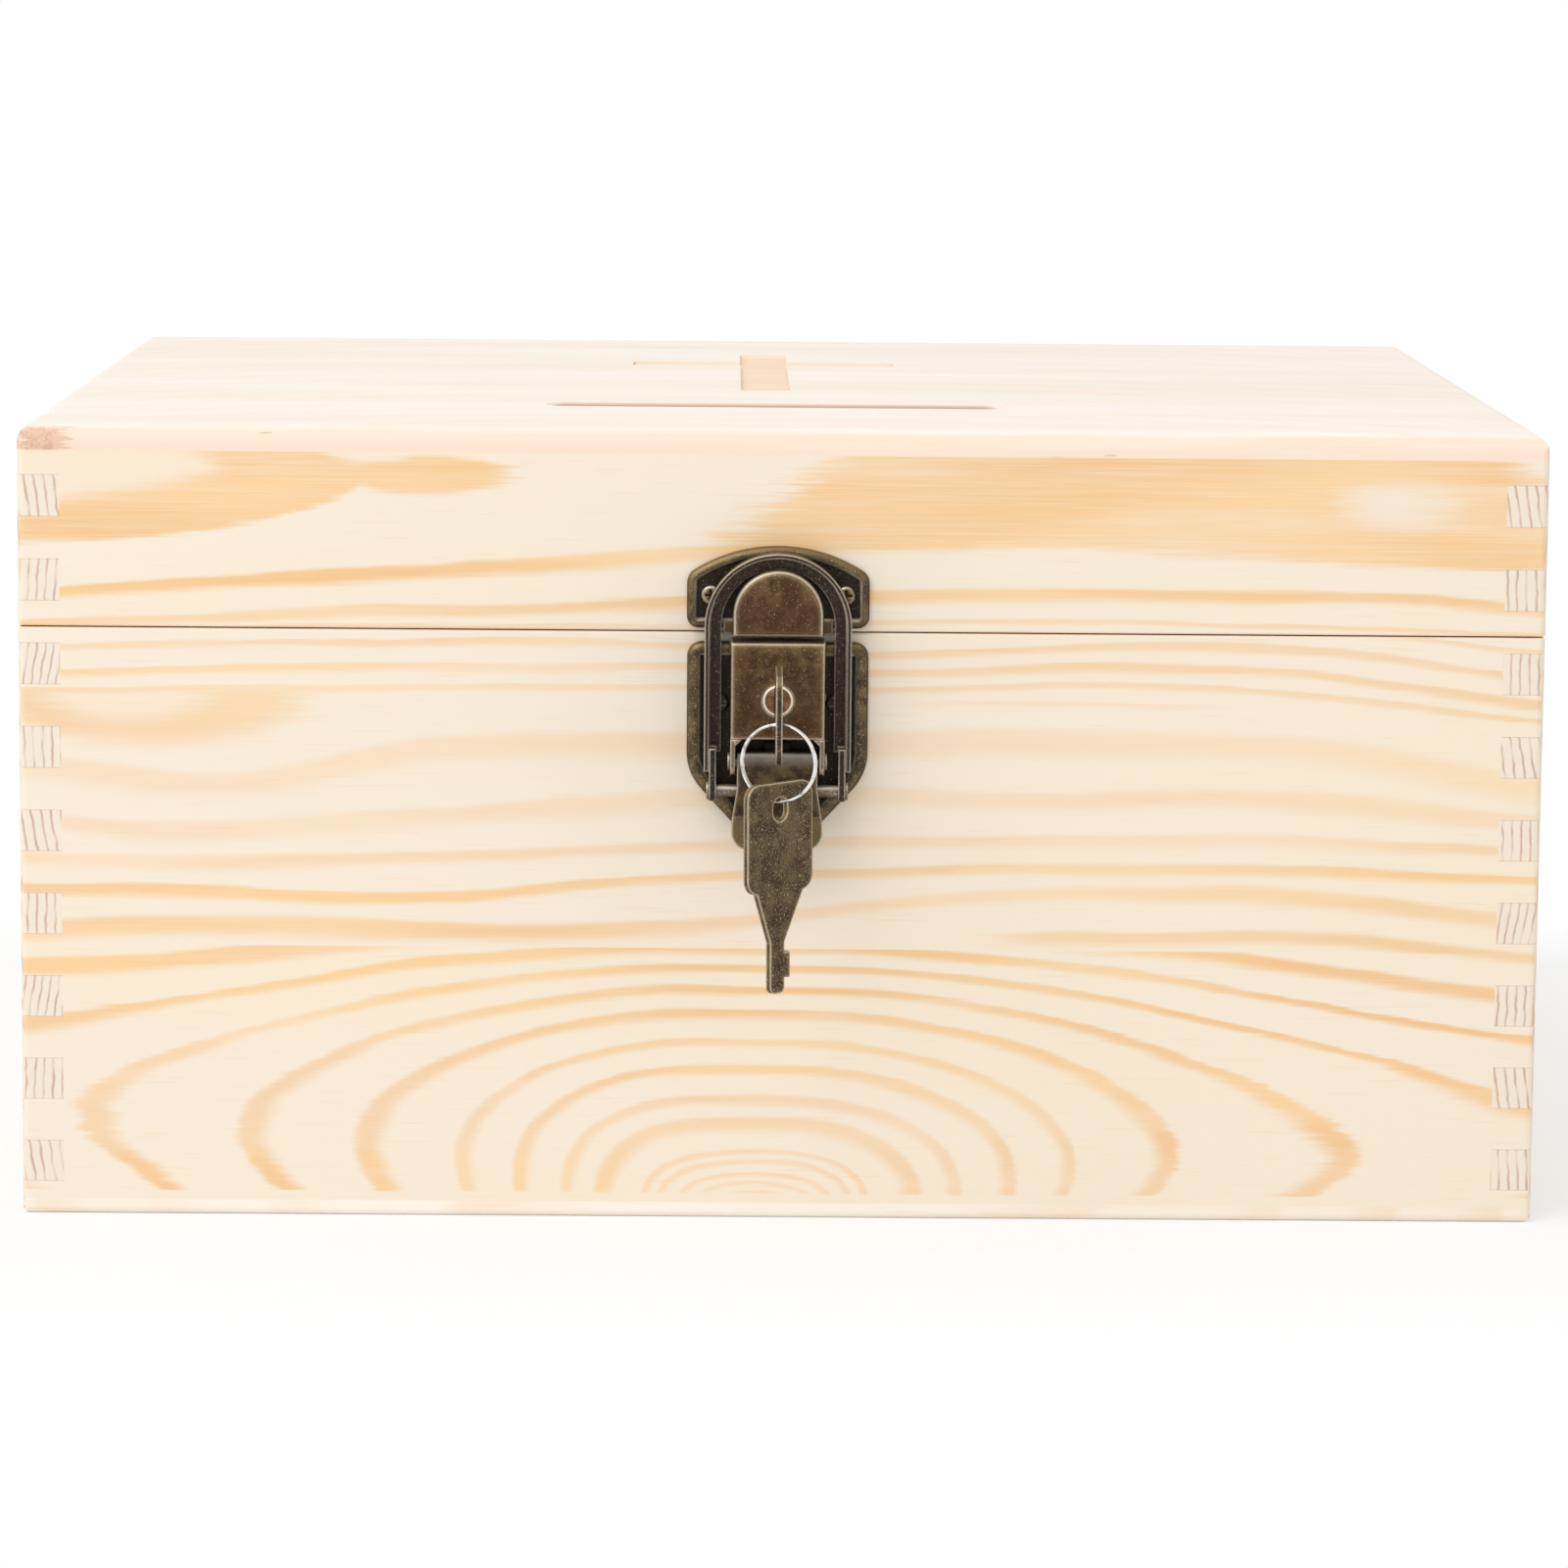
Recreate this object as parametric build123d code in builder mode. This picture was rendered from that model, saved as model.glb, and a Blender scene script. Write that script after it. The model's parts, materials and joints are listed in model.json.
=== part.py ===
from build123d import *
import os
from math import cos, sin, radians, sqrt

os.makedirs("parts", exist_ok=True)

# A pine ballot box with a finger-jointed carcass, a hinged lid with a paper slot and a shallow
# cross, a locking draw latch on the front, and two keys on a ring.
# Millimetres. The origin is the centre of the underside, +X to the right and -Y to the front.

# Carcass and lid
box_width = 290.0
box_depth = 250.0
wall = 8.0
base_thickness = 3.0
carcass_height = 144.0
lid_rim_height = 33.4
saw_gap = 0.2
lid_thickness = 5.0
board_seam_height = 52.5
finger = 8.0
first_finger = 3.4
edge_round = 0.5
base_round = 1.5
lid_round = 3.8
corner_round = 1.4
overrun = 2.0

# Paper slot and cross in the lid
slot_length = 90.0
slot_width = 8.0
slot_x = -1.3
slot_from_front = 57.0
slot_bevel = 0.4
cross_x = -3.0
cross_width = 10.0
cross_length = 104.5
cross_span = 56.5
cross_from_front = 148.8
cross_arm_from_front = 173.3
cross_depth = 0.8
slot_bevel_angle = 45.0

# Surface hinges on the back
hinge_spacing = 170.0
hinge_width = 28.0
knuckle_count = 3
leaf_height = 15.0
leaf_thickness = 1.0
leaf_corner = 2.0
knuckle_radius = 2.2
knuckle_gap = 0.2
knuckle_standoff = 0.1
knuckle_relief = 0.3
hinge_pin_radius = 1.0
hinge_pin_head = 0.6
hinge_pin_head_radius = 1.7
running_clearance = 0.05
hinge_screw_spacing = 18.0
hinge_screw_drop = 9.5

# Screws
shank_radius = 0.9
shank_length = 6.5
head_radius = 1.8
head_height = 1.1
head_round = 0.5
recess_width = 0.5
recess_depth = 0.5
recess_span = 2.2
shank_clearance = 0.1

# Latch plates. All heights of the latch count from the seam under the lid.
lock_x = -0.9
plate_floor = 1.0
strike_half_width = 17.3
strike_bottom = 0.8
strike_shoulder = 10.9
strike_top = 16.4
strike_low_corner = 2.2
strike_high_corner = 3.0
strike_rim_height = 1.9
strike_rim_width = 1.6
strike_edge_round = 1.3
strike_screw_offset = 12.8
strike_screw_height = 7.1
base_half_width = 17.2
base_top = -1.8
base_side_end = -27.0
base_bottom = -39.5
base_bottom_half_width = 5.7
base_top_corner = 2.8
base_side_corner = 10.5
base_low_corner = 5.0
base_rim_height = 2.0
base_rim_width = 2.4
base_edge_round = 1.4
base_screw_offset = 11.0
base_screw_height = -13.5
base_low_screw_height = -34.9

# Hook on the lid
hook_half_width = 8.6
hook_bottom = -0.3
hook_lip_back = 6.0
hook_lip_thickness = 1.4
hook_lip_round = 0.9
stem_half_width = 6.2
hook_foot_half_width = 10.4
hook_foot_height = 3.0
hook_foot_thickness = 0.6
hook_catch = 0.2
hook_seat_gap = 0.3

# Bail
bail_half_width = 13.9
bail_band = 3.2
bail_wall = 0.9
bail_back = 2.7
bail_front = 6.4
bail_arch_height = 1.5
bail_leg_end = -22.5
bail_wall_end = -26.0
ear_inner = 11.6
ear_thickness = 1.3
ear_radius = 2.0
bail_pin_radius = 1.2
bail_pin_head_radius = 1.7
bail_pin_head = 0.5

# Lock housing
housing_half_width = 8.9
housing_top = -1.1
housing_bottom = -19.5
housing_front = 9.5
housing_wall = 0.9
housing_round = 0.6
leg_radius = 2.6
leg_gusset = 1.2
pivot_depth = 5.4
pivot_height = -24.2
pivot_radius = 1.0
pivot_head_radius = 1.7
pivot_head = 0.5

# Thumb lever
lever_gap = 0.4
lever_sheet = 1.0
lever_face = 2.2
lever_top = 2.1
lever_bend = 10.3
lever_reach = 16.2
lever_kick = 2.2
lever_flare_start = 5.0
lever_flare_end = 11.3
lever_flare_half_width = 8.6
lever_tip_corner = 3.2
cheek_back = 2.4
cheek_top = 1.9
lever_round = 0.8
cheek_length = 8.6
cheek_corner = 1.8
lip_back = 1.2
tab_width = 5.0
tab_top = 3.9
tab_sheet = 0.8
bail_pin_behind_pivot = 0.6
bail_pin_below_pivot = 5.6

# Lock plug and cam
plug_radius = 2.9
plug_height = -12.0
plug_face_proud = 0.3
plug_edge = 0.25
plug_back = 3.6
plug_flange_radius = 3.9
plug_flange_thickness = 0.9
plug_flange_gap = 0.1
cam_thickness = 1.0
cam_hub_radius = 3.6
cam_reach = 9.2
cam_tip_radius = 1.6
cam_window_margin = 0.5

# Keys
key_thickness = 1.2
bow_width = 16.4
bow_length = 20.5
bow_corner = 2.8
shoulder_width = 11.5
shoulder_length = 9.3
blade_width = 3.5
blade_length = 9.6
blade_tip_corner = 1.2
bit_height = 1.4
bit_start = 2.0
bit_length = 4.8
key_hole_length = 4.5
key_hole_width = 3.7
key_hole_inset = 5.0
keyway_clearance = 0.08
key_standoff = 11.2
spare_turn = 43.0
spare_tilt = 0.5

# Key ring
ring_wire_radius = 0.42
ring_radius = 7.05
ring_turn = -20.0
hang_gap = 0.3

# Places that follow from the sizes
rim_top = base_thickness + carcass_height
lid_top = rim_top + lid_thickness
lid_bottom = rim_top - lid_rim_height
saw_height = lid_bottom - saw_gap
front_y = -box_depth / 2
back_y = box_depth / 2
seam_height = saw_height + saw_gap / 2
hinge_axis_standoff = knuckle_radius + knuckle_standoff
bail_radius_inner = bail_half_width - bail_band
bail_arch_inner_top = bail_arch_height + bail_radius_inner
stem_bottom = strike_bottom + strike_rim_width
stem_top = bail_arch_inner_top - hook_seat_gap
hook_top = bail_arch_inner_top + hook_catch
bail_pin_depth = pivot_depth - bail_pin_behind_pivot
bail_pin_height = pivot_height - bail_pin_below_pivot
cheek_half_width = housing_half_width - housing_wall - lever_gap
front_face = Plane(origin=(lock_x, front_y, seam_height), x_dir=(1, 0, 0), z_dir=(0, -1, 0))
side_section = Plane(origin=(lock_x, front_y, seam_height), x_dir=(0, -1, 0), z_dir=(-1, 0, 0))
pivot_z = seam_height + pivot_height
plug_z = seam_height + plug_height
pivot_section = Plane(
    origin=(lock_x, front_y - pivot_depth, pivot_z), x_dir=(0, -1, 0), z_dir=(-1, 0, 0),
)
pivot_front = Plane(origin=(lock_x, front_y, pivot_z), x_dir=(1, 0, 0), z_dir=(0, -1, 0))
back_face = Plane(origin=(0, back_y, 0), x_dir=(-1, 0, 0), z_dir=(0, 1, 0))


def save(part, name):
    part.label = name
    export_step(part, f"parts/{name}.step")


def eased_profile(plane, width, low, high, low_round, high_round):
    with BuildSketch(plane) as profile:
        with Locations((0, (low + high) / 2)):
            Rectangle(width, high - low)
        fillet(profile.vertices().group_by(Axis.Y)[0], low_round)
        fillet(profile.vertices().group_by(Axis.Y)[-1], high_round)
    return profile.sketch


def envelope(low, high, low_round, high_round):
    """Outer form of one half of the box, with its sanded edges and corners."""
    with BuildPart() as form:
        with BuildSketch(Plane.XY.offset(low)):
            RectangleRounded(box_width, box_depth, corner_round)
        extrude(amount=high - low)
        extrude(
            eased_profile(Plane.XZ, box_width, low, high, low_round, high_round),
            amount=box_depth, both=True, mode=Mode.INTERSECT,
        )
        extrude(
            eased_profile(Plane.YZ, box_depth, low, high, low_round, high_round),
            amount=box_width, both=True, mode=Mode.INTERSECT,
        )
    return form.part


def finger_places(end):
    """Centres of the side panels' fingers, at both ends of a panel."""
    pitch = 2 * finger
    count = int(carcass_height / pitch)
    low = base_thickness + first_finger + finger / 2
    return [(side * end, low + row * pitch) for row in range(count) for side in (-1, 1)]


def cross_panel(plane, low, high, form):
    """A front or back panel: its ends are notched for the side panels' fingers."""
    with BuildPart() as panel:
        with BuildSketch(plane):
            with Locations((0, (low + high) / 2)):
                Rectangle(box_width, high - low)
            with Locations(finger_places((box_width - wall) / 2)):
                Rectangle(wall, finger, mode=Mode.SUBTRACT)
        extrude(amount=wall)
        add(form, mode=Mode.INTERSECT)
    return panel.part


def side_panel(plane, low, high, form):
    """A left or right panel: its fingers fill the notches of the front and back panels."""
    with BuildPart() as panel:
        with BuildSketch(plane):
            with Locations((0, (low + high) / 2)):
                Rectangle(box_depth - 2 * wall, high - low)
            with Locations(finger_places((box_depth - wall) / 2)):
                Rectangle(wall, finger)
            with Locations((0, (low + high) / 2)):
                Rectangle(box_depth, high - low, mode=Mode.INTERSECT)
        extrude(amount=wall)
        add(form, mode=Mode.INTERSECT)
    return panel.part


def drilled(panel, plane, places, seat):
    """The panel with a pilot hole for each screw whose head sits at the seat height."""
    with BuildPart() as bored:
        add(panel)
        with BuildSketch(plane):
            with Locations(places):
                Circle(shank_radius)
        extrude(amount=seat - shank_length, mode=Mode.SUBTRACT)
    return bored.part


def screws(plane, places, seat):
    """Pan-head screws with a cross recess, as a group of separate solids."""
    with BuildPart() as group:
        with BuildSketch(plane.offset(seat)):
            with Locations(places):
                Circle(head_radius)
        extrude(amount=head_height)
        fillet(group.edges().group_by(Axis(plane.origin, plane.z_dir))[-1], head_round)
        with BuildSketch(plane.offset(seat)):
            with Locations(places):
                Circle(shank_radius)
        extrude(amount=-shank_length)
        with BuildSketch(plane.offset(seat + head_height)):
            with Locations(places):
                Rectangle(recess_span, recess_width)
                Rectangle(recess_width, recess_span)
        extrude(amount=-recess_depth, mode=Mode.SUBTRACT)
    return group.part


def body_boards():
    """The lower half: base, four walls, the front one glued up from two boards."""
    form = envelope(0, saw_height, base_round, edge_round)
    front = Plane.XZ.offset(box_depth / 2 - wall)
    back = Plane.XZ.offset(-box_depth / 2)
    left = Plane.YZ.offset(-box_width / 2)
    right = Plane.YZ.offset(box_width / 2 - wall)
    with BuildPart() as base:
        with BuildSketch():
            Rectangle(box_width, box_depth)
        extrude(amount=base_thickness)
        add(form, mode=Mode.INTERSECT)
    save(base.part, "base_panel")
    save(cross_panel(front, base_thickness, board_seam_height, form), "front_board_lower")
    upper = cross_panel(front, board_seam_height, saw_height, form)
    save(drilled(upper, front_face, base_screw_places, plate_floor), "front_board_upper")
    rear = cross_panel(back, base_thickness, saw_height, form)
    save(drilled(rear, back_face, hinge_screw_places(-1), leaf_thickness), "body_back_panel")
    save(side_panel(left, base_thickness, saw_height, form), "body_left_panel")
    save(side_panel(right, base_thickness, saw_height, form), "body_right_panel")


def lid_boards():
    """The lid: four rails sawn from the same carcass, under the top panel."""
    form = envelope(lid_bottom, lid_top, edge_round, lid_round)
    front = Plane.XZ.offset(box_depth / 2 - wall)
    back = Plane.XZ.offset(-box_depth / 2)
    left = Plane.YZ.offset(-box_width / 2)
    right = Plane.YZ.offset(box_width / 2 - wall)
    fore = cross_panel(front, lid_bottom, rim_top, form)
    save(drilled(fore, front_face, strike_screw_places, plate_floor), "lid_front_rail")
    rear = cross_panel(back, lid_bottom, rim_top, form)
    save(drilled(rear, back_face, hinge_screw_places(1), leaf_thickness), "lid_back_rail")
    save(side_panel(left, lid_bottom, rim_top, form), "lid_left_rail")
    save(side_panel(right, lid_bottom, rim_top, form), "lid_right_rail")
    with BuildPart() as top:
        with BuildSketch(Plane.XY.offset(rim_top)):
            Rectangle(box_width, box_depth)
            with Locations((slot_x, front_y + slot_from_front)):
                SlotOverall(slot_length, slot_width, mode=Mode.SUBTRACT)
        extrude(amount=lid_thickness)
        add(form, mode=Mode.INTERSECT)
        with BuildSketch(Plane.XY.offset(lid_top)):
            with Locations((cross_x, front_y + cross_from_front)):
                Rectangle(cross_width, cross_length)
            with Locations((cross_x, front_y + cross_arm_from_front)):
                Rectangle(cross_span, cross_width)
        extrude(amount=-cross_depth, mode=Mode.SUBTRACT)
        with BuildSketch(Plane.XY.offset(lid_top)):
            with Locations((slot_x, front_y + slot_from_front)):
                SlotOverall(slot_length + 2 * slot_bevel, slot_width + 2 * slot_bevel)
        extrude(amount=-slot_bevel, taper=slot_bevel_angle, mode=Mode.SUBTRACT)
    save(top.part, "lid_top_panel")


def hinge_screw_places(side):
    """Screw centres of the two hinges on the back face, above or below the seam."""
    height = seam_height + side * hinge_screw_drop
    return [
        (hinge + offset, height)
        for hinge in (-hinge_spacing / 2, hinge_spacing / 2)
        for offset in (-hinge_screw_spacing / 2, hinge_screw_spacing / 2)
    ]


def knuckle_spans(side):
    """Stretches of the hinge's width that one leaf's knuckles fill, from the hinge's centre."""
    middle = hinge_width / knuckle_count / 2
    if side > 0:
        return [(-middle + knuckle_gap / 2, middle - knuckle_gap / 2)]
    return [(-hinge_width / 2, -middle - knuckle_gap / 2), (middle + knuckle_gap / 2, hinge_width / 2)]


def hinge_leaf(x, side):
    """One leaf with its knuckles. Side is 1 for the lid's leaf and -1 for the body's."""
    relief = knuckle_radius + knuckle_relief
    axis_place = (back_y + hinge_axis_standoff, seam_height)
    with BuildPart() as leaf:
        with BuildSketch(back_face) as plate:
            with Locations((-x, seam_height + side * (relief + leaf_height) / 2)):
                Rectangle(hinge_width, leaf_height - relief)
            far_edge = plate.vertices().sort_by_distance((-x, seam_height))[-2:]
            fillet(far_edge, leaf_corner)
            for start, end in knuckle_spans(side):
                with Locations((-x - (start + end) / 2, seam_height + side * relief / 2)):
                    Rectangle(end - start, relief)
        extrude(amount=leaf_thickness)
        for start, end in knuckle_spans(side):
            with BuildSketch(Plane.YZ.offset(x + start)):
                with Locations(axis_place):
                    Circle(knuckle_radius)
            extrude(amount=end - start)
        with BuildSketch(Plane.YZ.offset(x - hinge_width / 2)):
            with Locations(axis_place):
                Circle(hinge_pin_radius + running_clearance)
        extrude(amount=hinge_width, mode=Mode.SUBTRACT)
        with BuildSketch(back_face):
            with Locations(hinge_screw_places(side)):
                Circle(shank_radius + shank_clearance)
        extrude(amount=leaf_thickness, mode=Mode.SUBTRACT)
    return leaf.part


def headed_pin(plane, place, radius, half_length, end_radius, end_height):
    """A round pin across the plane, with a head on each end."""
    with BuildPart() as pin:
        with BuildSketch(plane):
            with Locations(place):
                Circle(radius)
        extrude(amount=half_length, both=True)
        for end in (-1, 1):
            with BuildSketch(plane.offset(end * half_length)):
                with Locations(place):
                    Circle(end_radius)
            extrude(amount=end * end_height)
    return pin.part


def hinges():
    for name, x in (("left", -hinge_spacing / 2), ("right", hinge_spacing / 2)):
        save(hinge_leaf(x, -1), f"hinge_body_leaf_{name}")
        save(hinge_leaf(x, 1), f"hinge_lid_leaf_{name}")
        pin = headed_pin(
            Plane.YZ.offset(x), (back_y + hinge_axis_standoff, seam_height),
            hinge_pin_radius, hinge_width / 2, hinge_pin_head_radius, hinge_pin_head,
        )
        save(pin, f"hinge_pin_{name}")
    save(screws(back_face, hinge_screw_places(-1), leaf_thickness), "hinge_body_screws")
    save(screws(back_face, hinge_screw_places(1), leaf_thickness), "hinge_lid_screws")


def strike_outline(plane, inset):
    with BuildSketch(plane) as outline:
        with BuildLine():
            Polyline(
                (strike_half_width, strike_shoulder), (strike_half_width, strike_bottom),
                (-strike_half_width, strike_bottom), (-strike_half_width, strike_shoulder),
            )
            ThreePointArc(
                (-strike_half_width, strike_shoulder), (0, strike_top),
                (strike_half_width, strike_shoulder),
            )
        make_face()
        fillet(outline.vertices().group_by(Axis.Y)[0], strike_low_corner)
        fillet(outline.vertices().group_by(Axis.Y)[-1], strike_high_corner)
        if inset > 0:
            offset(amount=-inset)
    return outline.sketch


def base_outline(plane, inset):
    with BuildSketch(plane) as outline:
        with BuildLine():
            Polyline(
                (base_half_width, base_top), (base_half_width, base_side_end),
                (base_bottom_half_width, base_bottom), (-base_bottom_half_width, base_bottom),
                (-base_half_width, base_side_end), (-base_half_width, base_top), close=True,
            )
        make_face()
        fillet(outline.vertices().group_by(Axis.Y)[0], base_low_corner)
        fillet(outline.vertices().group_by(Axis.Y)[-1], base_top_corner)
        for side in (-1, 1):
            corner = (side * base_half_width, base_side_end)
            fillet(outline.vertices().sort_by_distance(corner)[0], base_side_corner)
        if inset > 0:
            offset(amount=-inset)
    return outline.sketch


def rimmed_plate(outline, rim_height, rim_width, edge, places):
    """A pressed plate: a rounded rim stands round a lower floor that takes the screws."""
    housing_height = housing_top - housing_bottom
    with BuildPart() as plate:
        extrude(outline(front_face, 0), amount=rim_height)
        fillet(plate.edges().group_by(Axis.Y)[0], edge)
        extrude(
            outline(front_face.offset(plate_floor), rim_width), amount=rim_height, mode=Mode.SUBTRACT,
        )
        with BuildSketch(front_face.offset(plate_floor)):
            with Locations((0, housing_bottom + housing_height / 2)):
                Rectangle(2 * housing_half_width, housing_height)
        extrude(amount=rim_height, mode=Mode.SUBTRACT)
        with BuildSketch(front_face):
            with Locations(places):
                Circle(shank_radius + shank_clearance)
        extrude(amount=plate_floor, mode=Mode.SUBTRACT)
    return plate.part


def arch_outline(plane, half_width, low, top):
    """A straight-sided shape with a half-round top."""
    springing = top - half_width
    with BuildSketch(plane) as shape:
        with BuildLine():
            Polyline(
                (half_width, springing), (half_width, low), (-half_width, low), (-half_width, springing),
            )
            ThreePointArc((-half_width, springing), (0, top), (half_width, springing))
        make_face()
    return shape.sketch


def strike_hook():
    """Mushroom-shaped hook: the bail's arch drops over the stem, behind the lip."""
    with BuildPart() as hook:
        extrude(
            arch_outline(front_face.offset(hook_lip_back), hook_half_width, hook_bottom, hook_top),
            amount=hook_lip_thickness,
        )
        fillet(hook.edges().group_by(Axis.Y)[0], hook_lip_round)
        extrude(
            arch_outline(front_face.offset(plate_floor), stem_half_width, stem_bottom, stem_top),
            amount=hook_lip_back - plate_floor,
        )
        with BuildSketch(front_face.offset(strike_rim_height)):
            with Locations((0, hook_bottom + hook_foot_height / 2)):
                Rectangle(2 * hook_foot_half_width, hook_foot_height)
        extrude(amount=hook_foot_thickness)
    return hook.part


def bail_band_outline(plane, band, leg_end):
    top = bail_arch_height + bail_half_width
    with BuildSketch(plane) as shape:
        add(arch_outline(Plane.XY, bail_half_width, leg_end, top))
        add(
            arch_outline(Plane.XY, bail_half_width - band, leg_end - overrun, top - band),
            mode=Mode.SUBTRACT,
        )
    return shape.sketch


def bail_loop():
    """U-shaped pressed bail of L section, with a flat ear on each leg for its pin."""
    pin_place = (bail_pin_depth, bail_pin_height)
    with BuildPart() as bail:
        band_outline = bail_band_outline(front_face.offset(bail_back), bail_band, bail_leg_end)
        extrude(band_outline, amount=bail_wall)
        wall_outline = bail_band_outline(front_face.offset(bail_back), bail_wall, bail_wall_end)
        extrude(wall_outline, amount=bail_front - bail_back)
        for outer in (ear_inner + ear_thickness, -ear_inner):
            with BuildSketch(side_section.offset(-outer)):
                with Locations(pin_place):
                    Circle(ear_radius)
                with Locations((bail_pin_depth, (bail_pin_height + bail_leg_end + bail_wall) / 2)):
                    Rectangle(2 * ear_radius, bail_leg_end + bail_wall - bail_pin_height)
            extrude(amount=ear_thickness)
        with BuildSketch(side_section):
            with Locations(pin_place):
                Circle(bail_pin_radius + running_clearance)
        extrude(amount=bail_half_width, both=True, mode=Mode.SUBTRACT)
    return bail.part


def lock_housing():
    """Folded cover over the lock, with two legs that carry the lever's pin."""
    height = housing_top - housing_bottom
    inner = housing_half_width - housing_wall
    pivot_place = (pivot_depth, pivot_height)
    leg_front = pivot_depth + leg_radius
    with BuildPart() as housing:
        with BuildSketch(front_face.offset(plate_floor)):
            with Locations((0, housing_bottom + height / 2)):
                Rectangle(2 * housing_half_width, height)
        extrude(amount=housing_front - plate_floor)
        fillet(housing.edges().group_by(Axis.Y)[0], housing_round)
        with BuildSketch(front_face.offset(plate_floor)):
            with Locations((0, housing_bottom + (height - housing_wall) / 2)):
                Rectangle(2 * inner, height - housing_wall)
        extrude(amount=housing_front - housing_wall - plate_floor, mode=Mode.SUBTRACT)
        for outer in (housing_half_width, -inner):
            with BuildSketch(side_section.offset(-outer)):
                with Locations(pivot_place):
                    Circle(leg_radius)
                with BuildLine():
                    Polyline(
                        (plate_floor, housing_bottom), (housing_front, housing_bottom),
                        (leg_front, pivot_height), (pivot_depth, pivot_height - leg_radius),
                        (plate_floor, pivot_height - leg_radius), close=True,
                    )
                make_face()
            extrude(amount=housing_wall)
        for side in (-1, 1):
            with BuildSketch(front_face.offset(housing_front - housing_wall)):
                with BuildLine():
                    Polyline(
                        (side * inner, housing_bottom), (side * (inner - leg_gusset), housing_bottom),
                        (side * inner, housing_bottom - leg_gusset), close=True,
                    )
                make_face()
            extrude(amount=housing_wall)
        with BuildSketch(side_section):
            with Locations(pivot_place):
                Circle(pivot_radius + running_clearance)
        extrude(amount=housing_half_width, both=True, mode=Mode.SUBTRACT)
        with BuildSketch(front_face.offset(housing_front - housing_wall)):
            with Locations((0, plug_height)):
                Circle(plug_radius + running_clearance)
        extrude(amount=housing_wall, mode=Mode.SUBTRACT)
        window_drop = sqrt(cam_reach**2 - inner**2) + cam_tip_radius + cam_window_margin
        window_rise = cam_tip_radius + cam_window_margin
        window_middle = plug_height + (window_rise - window_drop) / 2
        with BuildSketch(side_section.offset(-housing_half_width)):
            with Locations((plug_back - cam_thickness / 2, window_middle)):
                Rectangle(cam_thickness + 2 * cam_window_margin, window_rise + window_drop)
        extrude(amount=housing_wall, mode=Mode.SUBTRACT)
    return housing.part


def lever_profile():
    """Section of the lever's sheet: a rolled-in top lip, a flat face and a kicked-out end."""
    with BuildSketch(pivot_section) as profile:
        with BuildLine():
            Polyline(
                (lever_face, lever_top), (lever_face, -lever_bend),
                (lever_face + lever_kick, -lever_reach),
                (lever_face + lever_kick - lever_sheet, -lever_reach),
                (lever_face - lever_sheet, -lever_bend),
                (lever_face - lever_sheet, lever_top - lever_sheet),
                (-lip_back, lever_top - lever_sheet), (-lip_back, lever_top), close=True,
            )
        make_face()
        fillet(profile.vertices().sort_by_distance((lever_face, lever_top))[0], lever_round)
    return profile.sketch


def lever_face_outline():
    """Front view of the lever: straight beside the pin, then flared for the thumb."""
    with BuildSketch(pivot_front) as outline:
        with BuildLine():
            Polyline(
                (cheek_half_width, tab_top), (cheek_half_width, -lever_flare_start),
                (lever_flare_half_width, -lever_flare_end),
                (lever_flare_half_width, -lever_reach), (-lever_flare_half_width, -lever_reach),
                (-lever_flare_half_width, -lever_flare_end),
                (-cheek_half_width, -lever_flare_start), (-cheek_half_width, tab_top), close=True,
            )
        make_face()
        fillet(outline.vertices().group_by(Axis.Y)[0], lever_tip_corner)
    return outline.sketch


def thumb_lever():
    """Channel-shaped lever: two cheeks on the pin, and a tab that the lock's cam holds."""
    with BuildPart() as lever:
        extrude(lever_profile(), amount=lever_flare_half_width, both=True)
        extrude(lever_face_outline(), amount=housing_front + lever_kick, mode=Mode.INTERSECT)
        with BuildSketch(pivot_section):
            with Locations((tab_sheet / 2 - lip_back, (lever_top + tab_top) / 2)):
                Rectangle(tab_sheet, tab_top - lever_top)
        extrude(amount=tab_width / 2, both=True)
        cheek_front = lever_face - lever_sheet / 2
        for outer in (cheek_half_width, lever_sheet - cheek_half_width):
            with BuildSketch(pivot_section.offset(-outer)) as cheek:
                with Locations(((cheek_front - cheek_back) / 2, (cheek_top - cheek_length) / 2)):
                    Rectangle(cheek_front + cheek_back, cheek_top + cheek_length)
                fillet(cheek.vertices().group_by(Axis.X)[0], cheek_corner)
            extrude(amount=lever_sheet)
        with BuildSketch(pivot_section):
            Circle(pivot_radius + running_clearance)
            with Locations((-bail_pin_behind_pivot, -bail_pin_below_pivot)):
                Circle(bail_pin_radius + running_clearance)
        extrude(amount=cheek_half_width, both=True, mode=Mode.SUBTRACT)
    return lever.part


def keyway(plane):
    """Through slot for the blade and its bit, centred on the plug's axis."""
    with BuildSketch(plane) as slot:
        with Locations((0, plug_height)):
            Rectangle(
                key_thickness + 2 * keyway_clearance,
                blade_width + bit_height + 2 * keyway_clearance,
            )
    return slot.sketch


def lock_plug():
    flange_front = housing_front - housing_wall - plug_flange_gap
    face = housing_front + plug_face_proud
    with BuildPart() as plug:
        with BuildSketch(front_face.offset(plug_back)):
            with Locations((0, plug_height)):
                Circle(plug_radius)
        extrude(amount=face - plug_back)
        fillet(plug.edges().group_by(Axis.Y)[0], plug_edge)
        with BuildSketch(front_face.offset(flange_front)):
            with Locations((0, plug_height)):
                Circle(plug_flange_radius)
        extrude(amount=-plug_flange_thickness)
        extrude(keyway(front_face.offset(plug_back)), amount=face, mode=Mode.SUBTRACT)
    return plug.part


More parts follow.
